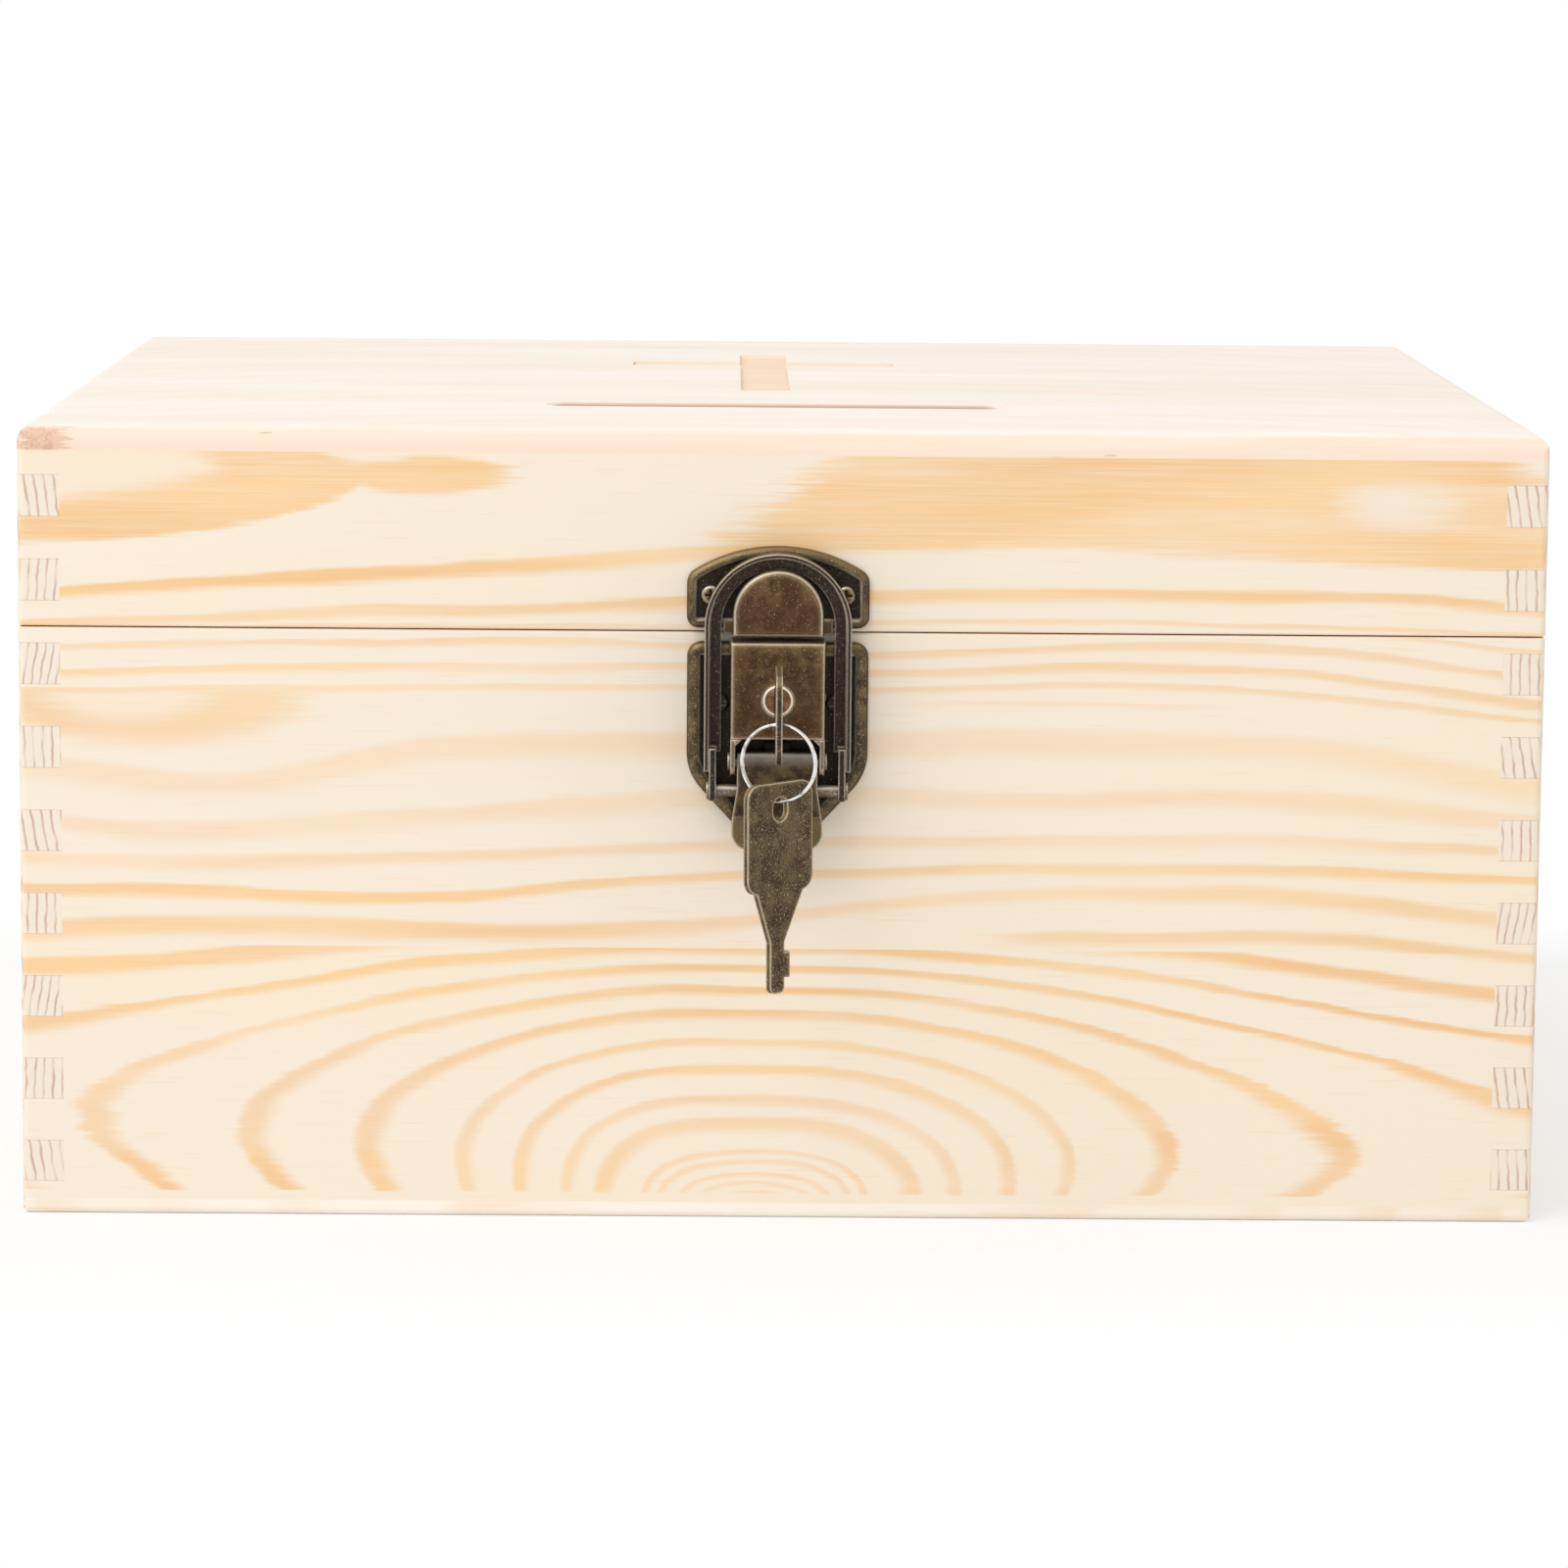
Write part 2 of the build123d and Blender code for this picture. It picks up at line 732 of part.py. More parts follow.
def lock_cam():
    """Cam on the back of the plug: a hub and one arm, out to the side while unlocked."""
    arm = cam_reach - cam_tip_radius
    with BuildPart() as cam:
        with BuildSketch(front_face.offset(plug_back - cam_thickness)):
            with Locations((0, plug_height)):
                Circle(cam_hub_radius)
            with Locations((arm / 2, plug_height)):
                Rectangle(arm, 2 * cam_tip_radius)
            with Locations((arm, plug_height)):
                Circle(cam_tip_radius)
        extrude(amount=cam_thickness)
        extrude(keyway(front_face.offset(plug_back)), amount=-cam_thickness, mode=Mode.SUBTRACT)
    return cam.part


def key(plane):
    """Flat key. The plane's origin is where the blade starts, and its Y runs up the bow."""
    blade_left = -(blade_width + bit_height) / 2
    blade_right = blade_left + blade_width
    with BuildPart() as blank:
        with BuildSketch(plane) as outline:
            with Locations((0, shoulder_length + bow_length / 2)):
                RectangleRounded(bow_width, bow_length, bow_corner)
            with BuildLine():
                Polyline(
                    (-shoulder_width / 2, shoulder_length), (blade_left, 0),
                    (blade_left, -blade_length), (blade_right, -blade_length),
                    (blade_right, 0), (shoulder_width / 2, shoulder_length), close=True,
                )
            make_face()
            fillet(outline.vertices().group_by(Axis.Y)[0], blade_tip_corner)
            with Locations((blade_right + bit_height / 2, -bit_start - bit_length / 2)):
                Rectangle(bit_height, bit_length)
            with Locations((0, shoulder_length + bow_length - key_hole_inset)):
                SlotOverall(key_hole_length, key_hole_width, rotation=90, mode=Mode.SUBTRACT)
        extrude(amount=key_thickness / 2, both=True)
    return blank.part


def keys_and_ring():
    """One key in the lock, its bow upright, with the ring and the spare key hanging from it."""
    hole_from_blade = shoulder_length + bow_length - key_hole_inset
    hang_y = front_y - key_standoff - hole_from_blade
    in_lock = Plane(
        origin=(lock_x, front_y - key_standoff, plug_z), x_dir=(0, 0, 1), z_dir=(1, 0, 0),
    )
    save(key(in_lock), "key_in_lock")
    top_wire = plug_z - key_hole_width / 2 + hang_gap + ring_wire_radius
    low_wire = top_wire - 2 * ring_radius
    turn = radians(ring_turn)
    ring_plane = Plane(
        origin=(lock_x, hang_y, top_wire - ring_radius),
        x_dir=(cos(turn), sin(turn), 0), z_dir=(sin(turn), -cos(turn), 0),
    )
    with BuildPart(ring_plane) as ring:
        Torus(ring_radius, ring_wire_radius)
    save(ring.part, "key_ring")
    spare, tilt = radians(spare_turn), radians(spare_tilt)
    across = Vector(cos(tilt) * cos(spare), cos(tilt) * sin(spare), sin(tilt))
    facing = Vector(sin(spare), -cos(spare), 0)
    up = facing.cross(across)
    hole_centre = Vector(lock_x, hang_y, low_wire + ring_wire_radius + hang_gap - key_hole_length / 2)
    hanging = Plane(origin=hole_centre - up * hole_from_blade, x_dir=across, z_dir=facing)
    save(key(hanging), "spare_key")
    print("ring centre", ring_plane.origin, "spare hole", hole_centre)


def latch():
    strike = rimmed_plate(
        strike_outline, strike_rim_height, strike_rim_width, strike_edge_round, strike_screw_places,
    )
    save(strike, "strike_plate")
    save(strike_hook(), "strike_hook")
    save(screws(front_face, strike_screw_places, plate_floor), "strike_screws")
    base = rimmed_plate(
        base_outline, base_rim_height, base_rim_width, base_edge_round, base_screw_places,
    )
    save(base, "latch_base_plate")
    save(screws(front_face, base_screw_places, plate_floor), "latch_base_screws")
    save(lock_housing(), "lock_housing")
    lever_pin = headed_pin(
        side_section, (pivot_depth, pivot_height), pivot_radius, housing_half_width,
        pivot_head_radius, pivot_head,
    )
    save(lever_pin, "lever_pivot_pin")
    save(thumb_lever(), "thumb_lever")
    bail_pin = headed_pin(
        side_section, (bail_pin_depth, bail_pin_height), bail_pin_radius, ear_inner + ear_thickness,
        bail_pin_head_radius, bail_pin_head,
    )
    save(bail_pin, "bail_pin")
    save(bail_loop(), "bail_loop")
    save(lock_plug(), "lock_plug")
    save(lock_cam(), "lock_cam")


strike_screw_places = [(side * strike_screw_offset, strike_screw_height) for side in (-1, 1)]
base_screw_places = [
    (-base_screw_offset, base_screw_height), (base_screw_offset, base_screw_height),
    (0, base_low_screw_height),
]
body_boards()
lid_boards()
hinges()
latch()
keys_and_ring()
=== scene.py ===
import json
from math import cos, pi, radians, sin

import bpy
from mathutils import Matrix, Vector


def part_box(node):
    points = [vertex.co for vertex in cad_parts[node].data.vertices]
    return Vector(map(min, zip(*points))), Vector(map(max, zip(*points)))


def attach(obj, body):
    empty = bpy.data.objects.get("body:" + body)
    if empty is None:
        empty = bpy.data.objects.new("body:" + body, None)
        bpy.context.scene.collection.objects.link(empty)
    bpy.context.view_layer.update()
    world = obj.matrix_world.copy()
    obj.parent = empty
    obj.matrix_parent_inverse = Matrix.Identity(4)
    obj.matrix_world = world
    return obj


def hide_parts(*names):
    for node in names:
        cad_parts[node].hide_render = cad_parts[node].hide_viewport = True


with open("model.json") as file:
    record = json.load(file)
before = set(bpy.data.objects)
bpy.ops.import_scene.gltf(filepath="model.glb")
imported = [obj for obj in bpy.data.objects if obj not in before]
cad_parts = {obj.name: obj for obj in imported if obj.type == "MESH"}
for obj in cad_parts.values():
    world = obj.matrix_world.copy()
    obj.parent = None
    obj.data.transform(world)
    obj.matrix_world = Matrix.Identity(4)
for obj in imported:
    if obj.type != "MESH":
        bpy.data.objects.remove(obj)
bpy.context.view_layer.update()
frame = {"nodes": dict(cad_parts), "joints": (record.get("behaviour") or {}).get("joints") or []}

bl_info = {
    "name": "Ballot box finishes",
    "version": (1, 0, 0),
    "blender": (4, 5, 0),
    "location": "View3D > Sidebar > Ballot box",
    "description": "Sanded pine, antique bronze fittings and a studio for a ballot box",
    "category": "Object",
}

MM = 0.001
PER_MM = 1000.0
WHITE = (1.0, 1.0, 1.0)

# The box as the frame gives it, in millimetres
front_low, front_high = (corner * PER_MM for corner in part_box("front_board_lower"))
lid_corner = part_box("lid_top_panel")[1] * PER_MM
half_width = lid_corner.x
half_depth = lid_corner.y
lid_height = lid_corner.z
base_top = front_low.z
seam = (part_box("front_board_upper")[1].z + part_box("lid_front_rail")[0].z) * PER_MM / 2
wall = front_high.y - front_low.y


class Field:
    """One shader number, so that masks and noises are written as sums."""

    def __init__(self, shading, socket):
        self.shading = shading
        self.socket = socket

    def maths(self, operation, *others, clamp=False):
        numbers = dict(enumerate((self, *others)))
        node = self.shading.add("Math", {"operation": operation, "use_clamp": clamp}, numbers)
        return Field(self.shading, node.outputs[0])

    def __add__(self, other):
        return self.maths("ADD", other)

    def __sub__(self, other):
        return self.maths("SUBTRACT", other)

    def __mul__(self, other):
        return self.maths("MULTIPLY", other)

    def __truediv__(self, other):
        return self.maths("DIVIDE", other)

    def __pow__(self, other):
        return self.maths("POWER", other)

    def __rsub__(self, other):
        return self * -1.0 + other

    def __abs__(self):
        return self.maths("ABSOLUTE")

    __radd__ = __add__
    __rmul__ = __mul__

    def lesser(self, other):
        return self.maths("MINIMUM", other)

    def greater(self, other):
        return self.maths("MAXIMUM", other)

    def root(self):
        return self.maths("SQRT")

    def fraction(self):
        return self.maths("FRACT")

    def clipped(self):
        return self.maths("ADD", 0.0, clamp=True)

    def rise(self, start, end):
        """0 up to start, 1 from end, and smooth in between; end may be the lower one."""
        return self.spread(start, end, 0.0, 1.0)

    def spread(self, start, end, low, high):
        low_in, high_in, low_out, high_out = (
            (start, end, low, high) if start < end else (end, start, high, low)
        )
        node = self.shading.add(
            "MapRange",
            {"interpolation_type": "SMOOTHSTEP"},
            {0: self, 1: low_in, 2: high_in, 3: low_out, 4: high_out},
        )
        return Field(self.shading, node.outputs[0])


class Shading:
    """A node tree under construction."""

    def __init__(self, tree):
        self.tree = tree

    def add(self, kind, settings=None, sockets=None):
        """The one way a node is made: its type, settings, and values or links of its sockets."""
        node = self.tree.nodes.new("ShaderNode" + kind)
        for key, value in (settings or {}).items():
            if key == "stops":
                self.set_stops(node.color_ramp, value)
            elif key == "ease":
                node.color_ramp.interpolation = value
            else:
                setattr(node, key, value)
        for key, value in (sockets or {}).items():
            self.feed(node.inputs[key], value)
        return node

    def feed(self, target, value):
        """Links a Field or a socket to the target, or writes a constant on it."""
        if isinstance(value, Field):
            self.tree.links.new(value.socket, target)
        elif isinstance(value, bpy.types.NodeSocket):
            self.tree.links.new(value, target)
        elif target.type == "RGBA":
            target.default_value = (*value[:3], 1.0)
        else:
            target.default_value = value

    @staticmethod
    def set_stops(ramp, stops):
        while len(ramp.elements) > 1:
            ramp.elements.remove(ramp.elements[-1])
        for row, (at, value) in enumerate(stops):
            stop = ramp.elements[0] if row == 0 else ramp.elements.new(at)
            stop.position = at
            stop.color = (value, value, value, 1.0)

    def seen(self):
        """1 for what the camera sees straight on, in a reflection or through glass."""
        rays = self.add("LightPath").outputs
        camera, glossy, through = (
            Field(self, rays[f"Is {kind} Ray"]) for kind in ("Camera", "Glossy", "Transmission")
        )
        return camera.greater(glossy).greater(through)


class Finish(Shading):
    """A material under construction, in millimetres of the object's own frame."""

    def __init__(self, name):
        self.material = bpy.data.materials.new(name)
        self.material.use_nodes = True
        super().__init__(self.material.node_tree)
        self.shader = self.tree.nodes["Principled BSDF"]
        self.place = self.add("TexCoord")
        self.millimetres = self.vector("SCALE", self.place.outputs["Object"], scale=PER_MM)
        parts = self.add("SeparateXYZ", sockets={0: self.millimetres})
        self.x, self.y, self.z = (Field(self, out) for out in parts.outputs)

    def vector(self, operation, first, second=(0.0, 0.0, 0.0), scale=1.0):
        node = self.add("VectorMath", {"operation": operation}, {0: first, 1: second, 3: scale})
        return node.outputs["Value" if operation == "DOT_PRODUCT" else "Vector"]

    def combined(self, x, y, z):
        return self.add("CombineXYZ", sockets={0: x, 1: y, 2: z}).outputs[0]

    def noise(self, where, size, detail=2.0, roughness=0.5, distortion=0.0):
        """Noise about 0.5, whose blobs are size millimetres wide."""
        node = self.add(
            "TexNoise",
            sockets={
                "Vector": where,
                "Scale": 1.0 / size,
                "Detail": detail,
                "Roughness": roughness,
                "Distortion": distortion,
            },
        )
        return Field(self, node.outputs[0])

    def curve(self, across, start, end, heights, low, high):
        """A smooth line through evenly spaced heights, read at the place across."""
        share = (across - start) / (end - start)
        last = len(heights) - 1
        stops = [(row / last, (height - low) / (high - low)) for row, height in enumerate(heights)]
        node = self.add("ValToRGB", {"stops": stops, "ease": "B_SPLINE"}, {0: share})
        return Field(self, node.outputs[0]) * (high - low) + low

    def mix(self, share, first, second):
        """Colour between first and second."""
        settings = {"data_type": "RGBA", "blend_type": "MIX", "clamp_factor": True}
        return self.add("Mix", settings, {0: share, 6: first, 7: second}).outputs[2]

    def eased(self, radius):
        """The surface normal as if the edges were rounded."""
        return self.add("Bevel", {"samples": 6}, {"Radius": radius * MM}).outputs[0]

    def edges(self, radius, sharpness):
        """1 along the worn edges of the piece, 0 on its flats."""
        eased = self.eased(radius)
        flat = self.add("NewGeometry").outputs["Normal"]
        return ((1.0 - Field(self, self.vector("DOT_PRODUCT", eased, flat))) * sharpness).clipped()

    def facing(self, axis):
        """How squarely the surface faces along a row axis, from the object's own normals."""
        parts = self.add("SeparateXYZ", sockets={0: self.place.outputs["Normal"]})
        return abs(Field(self, parts.outputs["XYZ".index(axis)]))

    def bump(self, height, strength, distance):
        node = self.add(
            "Bump", sockets={"Strength": strength, "Distance": distance * MM, "Height": height}
        )
        return node.outputs[0]

    def set(self, **sockets):
        for key, value in sockets.items():
            self.feed(self.shader.inputs[key.replace("_", " ").title()], value)
        return self.material

    def painted(self):
        """The colour that the shader has so far."""
        return self.shader.inputs["Base Color"].links[0].from_socket


def dress(node, material):
    """Gives a frame node its material."""
    mesh = frame["nodes"][node].data
    mesh.materials.clear()
    mesh.materials.append(material)


def colour(name, description, value):
    return bpy.props.FloatVectorProperty(
        name=name, description=description, subtype="COLOR", size=3, min=0.0, max=1.0,
        default=value,
    )


def length(name, description, value):
    return bpy.props.FloatProperty(
        name=name, description=description, subtype="DISTANCE", unit="LENGTH", min=0.0,
        default=value,
    )


def share(name, description, value):
    return bpy.props.FloatProperty(
        name=name, description=description, subtype="FACTOR", min=0.0, max=1.0, default=value
    )


# Growth bands of the boards on the latch side, in millimetres. Each is its heights at even steps
# from REACH on the left to REACH on the right, its half width, its strength, its start and end.
REACH = 144.0
UPPER_BOARD_BANDS = (
    ((115.0, 115.0, 115.0, 115.0, 115.0, 115.0, 115.0, 115.0, 115.0, 115.0, 115.0, 115.0, 115.0,
      114.8, 114.2, 112.7, 110.4), 0.5, 0.55, 90.0, 170.0),
    ((109.6, 110.0, 110.5, 110.9, 111.1, 111.4, 111.3, 110.6, 109.6, 109.0, 109.8, 110.9, 111.4,
      111.4, 110.4, 107.9, 105.0), 0.85, 0.75, -170.0, 170.0),
    ((104.5, 105.0, 105.5, 105.9, 106.4, 106.3, 106.3, 106.8, 106.4, 105.4, 106.2, 107.1, 107.3,
      106.8, 105.4, 103.1, 100.0), 0.85, 0.85, -170.0, 170.0),
    ((101.2, 101.4, 101.9, 102.1, 102.4, 102.6, 102.5, 102.8, 102.3, 102.0, 102.8, 103.9, 103.8,
      102.9, 101.5, 99.5, 97.0), 0.65, 0.75, -170.0, 170.0),
    ((99.0, 99.0, 99.0, 99.0, 99.0, 99.0, 99.0, 99.2, 99.5, 99.8, 100.0, 100.3, 99.9, 99.3,
      98.5, 98.0, 97.0), 0.5, 0.4, 18.0, 92.0),
    ((87.5, 85.0, 82.6, 85.2, 90.8, 91.7, 91.8, 91.8, 91.8, 91.8, 92.8, 92.7, 92.2, 92.6, 91.3,
      88.0, 84.0), 2.5, 0.5, -170.0, 170.0),
    ((77.0, 74.6, 74.5, 75.9, 77.0, 78.6, 80.1, 81.6, 82.3, 82.5, 81.4, 81.2, 82.2, 82.4, 81.2,
      79.4, 77.5), 1.9, 0.46, -170.0, 170.0),
    ((69.3, 68.8, 68.5, 68.9, 69.6, 70.2, 71.4, 72.2, 73.0, 73.5, 73.7, 73.6, 73.7, 74.4, 73.2,
      72.8, 72.0), 1.4, 0.55, -170.0, 170.0),
    ((63.0, 63.4, 63.2, 62.0, 61.9, 62.7, 65.2, 66.3, 67.0, 67.2, 68.2, 68.4, 68.2, 68.5, 67.9,
      67.2, 66.5), 1.15, 1.0, -170.0, 170.0),
    ((55.2, 56.4, 56.7, 56.3, 55.9, 55.3, 55.6, 56.4, 58.8, 60.9, 62.9, 63.7, 63.8, 63.9, 62.6,
      60.5, 58.0), 1.7, 0.75, -170.0, 170.0),
    ((54.6, 54.6, 54.6, 54.6, 54.6, 54.6, 54.6, 54.6, 54.6, 54.6, 54.6, 55.0, 55.1, 55.7, 55.5,
      53.4, 51.0), 1.5, 0.8, 34.0, 170.0),
)
LID_FRONT_BANDS = (
    ((119.5, 121.0, 122.3, 123.3, 124.5, 125.4, 127.0, 128.3, 129.8, 130.4, 130.4, 131.0, 131.0,
      131.0, 131.0, 131.0, 131.0), 1.45, 0.95, -170.0, 24.0),
    ((113.6, 114.4, 115.5, 116.6, 117.3, 117.2, 117.9, 119.3, 120.0, 120.6, 121.0, 121.0, 121.0,
      120.9, 121.0, 120.4, 118.0), 1.1, 0.85, -170.0, 170.0),
    ((112.6, 112.8, 113.6, 114.0, 114.0, 114.1, 114.3, 114.6, 114.9, 115.3, 115.6, 115.8, 115.6,
      115.4, 115.1, 114.6, 114.0), 0.5, 0.55, -110.0, 150.0),
)
# Growth rings of the lower board: radius over the pith, half width, strength
LOWER_BOARD_RINGS = (
    (4.8, 0.4, 0.4), (6.3, 0.35, 0.35), (7.9, 0.4, 0.4), (10.0, 0.45, 0.45), (11.8, 0.5, 0.5),
    (17.2, 1.35, 0.7), (21.9, 0.9, 0.55), (27.5, 0.95, 0.7), (32.6, 0.8, 0.6), (38.2, 0.95, 0.8),
    (42.8, 0.85, 0.8), (47.1, 0.8, 0.85), (51.0, 0.95, 0.9), (55.4, 1.7, 1.15), (59.8, 1.6, 0.8),
)
# How far the pith line lies from the rings' centre, and its height, at the same even steps
RING_REACH = (
    48.4, 46.7, 44.0, 40.9, 36.6, 30.8, 19.0, 6.0, 1.5, 12.5, 23.3, 32.5, 38.2, 41.0, 42.9,
    44.7, 46.2,
)
PITH_HEIGHT = (
    21.0, 19.0, 16.6, 15.0, 13.6, 9.8, 4.4, 2.2, 1.5, 2.8, 5.3, 10.0, 13.5, 13.8, 13.4, 13.2,
    13.2,
)
PITH_X = -9.0
# Lower edges of the lid's two broad patches, at the same even steps
LEFT_PATCH_EDGE = (
    129.0, 130.3, 131.8, 135.4, 143.0, 153.0, 156.0, 156.0, 156.0, 156.0, 156.0, 156.0, 156.0,
    156.0, 156.0, 156.0, 156.0,
)
RIGHT_PATCH_EDGE = (
    130.0, 130.0, 130.0, 130.0, 130.0, 130.0, 130.0, 130.0, 129.6, 128.8, 129.8, 130.6, 128.8,
    127.9, 127.1, 126.3, 125.8,
)
# Ellipses on the boards: the middle along and across, half the length and half the height
UPPER_PATCH = (-121.0, 101.5, 30.0, 10.2)
UPPER_PATCH_LIGHT = (-125.0, 100.5, 16.0, 5.0)
LID_LOBE = (-68.0, 142.5, 17.0, 3.9)
LID_LOBE_NOTCH = (-78.0, 148.0, 9.0, 2.8)
LID_RIGHT_LIGHT = (116.0, 138.3, 11.0, 4.6)
LID_KNOT = (-140.5, -half_depth, 5.0, 3.0)
# Each pair is the place where a mask is 0 and the place where it is 1, in millimetres.
# The lower board's figure starts above its foot, and the upper board's patch lies under its top
FIGURE_FOOT = (4.7, 5.0)
UPPER_PATCH_TOP = (101.9, 101.2)
# The lid's left patch ends along the rail, and a pale tongue runs into it from the rail's end.
# The tongue lies between a floor that climbs and a ceiling that falls with each millimetre along
LEFT_PATCH_END = (-75.0, -83.0)
TONGUE_END = (-100.0, -112.0)
TONGUE_FLOOR = 134.8
TONGUE_CLIMB = 0.17
TONGUE_CEILING = 144.2
TONGUE_CEILING_AT = -108.0
TONGUE_FALL = 0.45
# The right patch starts here along the rail at its height, and leans to the left below that. Its
# upper right corner is cut off where the place along and the height above the foot add up to this
RIGHT_PATCH_START = (4.0, 14.0)
RIGHT_PATCH_HEIGHT = 145.5
RIGHT_PATCH_LEAN = 1.3
RIGHT_CORNER_FOOT = 140.0
RIGHT_CORNER = (150.0, 139.0)
# The length over which a band comes in or fades out
BAND_END = 20.0
# Brown painted shade on the faces in the seam's gap: how far from the outer faces, and from the
# middle of the cut
GAP_SHADE_DEPTH = (-1.2, -0.7)
GAP_SHADE_REACH = (1.3, 1.0)
# The lid top's rounded front edge by height and by depth, and the sunk cross by height
ROUNDING_DROP = (-0.2, -1.6)
ROUNDING_DEPTH = (5.0, 1.5)
CROSS_MOUTH = (-0.4, -0.7)
CROSS_FLOOR = (-1.6, -1.2)
# The painted shade on the paper slot's walls starts behind the rounded edge and ends at its back
# wall
SLOT_FRONT = (6.0, 8.0)
SLOT_BACK = -62.0
SLOT_BACK_FADE = (0.6, 0.2)
# The finger joints
FINGER = 8.0
FINGER_PITCH = 2.0 * FINGER
FIRST_FINGER = 3.4
# The top of the lever's tab below the seam, the height of the painted highlight along its lip, and
# the fade of that highlight and of the painted shade above the tab
TAB_DEPTH = 22.3
LIP_HEIGHT = 3.2
TAB_FADE = 0.3


class PineBoard(Finish):
    """Sanded pine. Grain names the row axes that run along, across and through the board."""

    def __init__(self, name, grain, seed):
        super().__init__(name)
        self.along, self.across, self.through = (getattr(self, axis) for axis in grain)
        self.end_axis = grain[0].upper()
        self.seed = seed
        self.slow = self.stretched(7.0)
        self.wander = self.noise(self.slow, 16.0, 2.0) - 0.5
        self.ripple = self.noise(self.slow, 4.0, 2.0) - 0.5
        self.fibre = self.noise(self.stretched(60.0), 0.45, 3.0, 0.65)
        self.streaks = self.noise(self.stretched(90.0), 0.3, 3.0, 0.7)
        self.torn = self.noise(self.stretched(24.0), 0.7, 3.0, 0.6) - 0.5
        self.level = self.across + self.ripple * 1.4 + self.torn * 0.95

    def stretched(self, times):
        """Space drawn out along the grain, shifted by the board's own seed."""
        return self.combined(self.along / times + self.seed, self.across, self.through)

    def uneven(self, low, size=22.0):
        return self.noise(self.slow, size, 1.0).spread(0.35, 0.6, low, 1.0)

    def along_curve(self, heights):
        """A curve given by its heights at even steps along a board of the latch side."""
        low, high = min(heights) - 1.0, max(heights) + 1.0
        return self.curve(self.along, -REACH, REACH, heights, low, high)

    def line_at(self, level, height, half, strength):
        """A latewood line: soft on its young side, crisper on the other."""
        away = (level - height) / (half * (0.95 + self.wander * 1.2))
        soft = away.spread(-1.8, -0.1, 0.0, strength)
        return soft * away.rise(1.3, 0.45)

    def bands(self, rows):
        """Bands that follow the heights given along the board."""
        total = None
        for heights, half, strength, start, end in rows:
            band = self.line_at(self.level, self.along_curve(heights), half, strength)
            if start > -REACH:
                band = band * (self.along + self.torn * 14.0).rise(start, start + BAND_END)
            if end < REACH:
                band = band * (self.along + self.torn * 14.0).rise(end, end - BAND_END)
            total = band if total is None else total.greater(band)
        return total * self.uneven(0.65)

    def cathedral(self, rings):
        """Nested arches over a pith line that lies low on the board and climbs to both sides."""
        reach = self.along_curve(RING_REACH)
        upright = self.across - self.along_curve(PITH_HEIGHT) + self.ripple * 0.9
        radius = (reach * reach + upright * upright).root() + self.wander * 1.3 + self.torn * 0.7
        slender = abs(self.along - PITH_X).spread(20.0, 120.0, 1.0, 0.5)
        total = None
        for at, half, strength in rings:
            ring = self.line_at(radius, at, slender * half, strength)
            total = ring if total is None else total.greater(ring)
        foot = (self.across + self.ripple * 0.6).rise(*FIGURE_FOOT)
        return total * self.uneven(0.65) * foot

    def blot(self, along, across, length, height, start=1.25, end=0.75):
        """1 inside an ellipse on the board, with an edge torn along the grain."""
        beside = (self.along + self.torn * 16.0 - along) / length
        above = (self.across + self.wander * 3.0 - across) / height
        return (beside * beside + above * above).root().rise(start, end)

    def even_bands(self, spacing, bow, strength):
        """Plain flat-sawn figure for the boards that the latch side doesn't show."""
        bowed = self.level + (self.along * 0.011) ** 2.0 * bow + self.wander * 9.0
        phase = (bowed / spacing + self.seed * 0.37).fraction()
        ring = phase.spread(0.35, 0.8, 0.0, strength) * phase.rise(0.98, 0.86)
        return ring * self.uneven(0.35)

    def ends(self):
        """Growth lines on the cut ends; they lean another way on every finger."""
        finger = ((self.across - base_top - FIRST_FINGER) / FINGER).maths("FLOOR")
        lean = (finger * 2.4 + self.seed).maths("SINE") * 0.16
        rough = self.noise(self.millimetres, 3.0, 2.0) - 0.5
        bent = self.through + self.across * lean + rough * 0.9 + lean * 20.0
        rings = (bent / (1.75 + lean * 0.9)).fraction()
        lines = rings.rise(0.6, 0.82) * rings.rise(0.98, 0.88)
        return lines * self.noise(self.millimetres, 5.0, 1.0).spread(0.3, 0.62, 0.2, 0.8)

    def joint_line(self, offset, inner):
        """The hairline between a finger and its notch; offset says which of the two this is."""
        row = ((self.z - (base_top + FIRST_FINGER + offset)) / FINGER_PITCH).fraction()
        to_edge = row.lesser(FINGER / FINGER_PITCH - row) * FINGER_PITCH
        to_shoulder = abs(self.through) - inner
        return abs(to_edge.lesser(to_shoulder)).rise(0.2, 0.08)

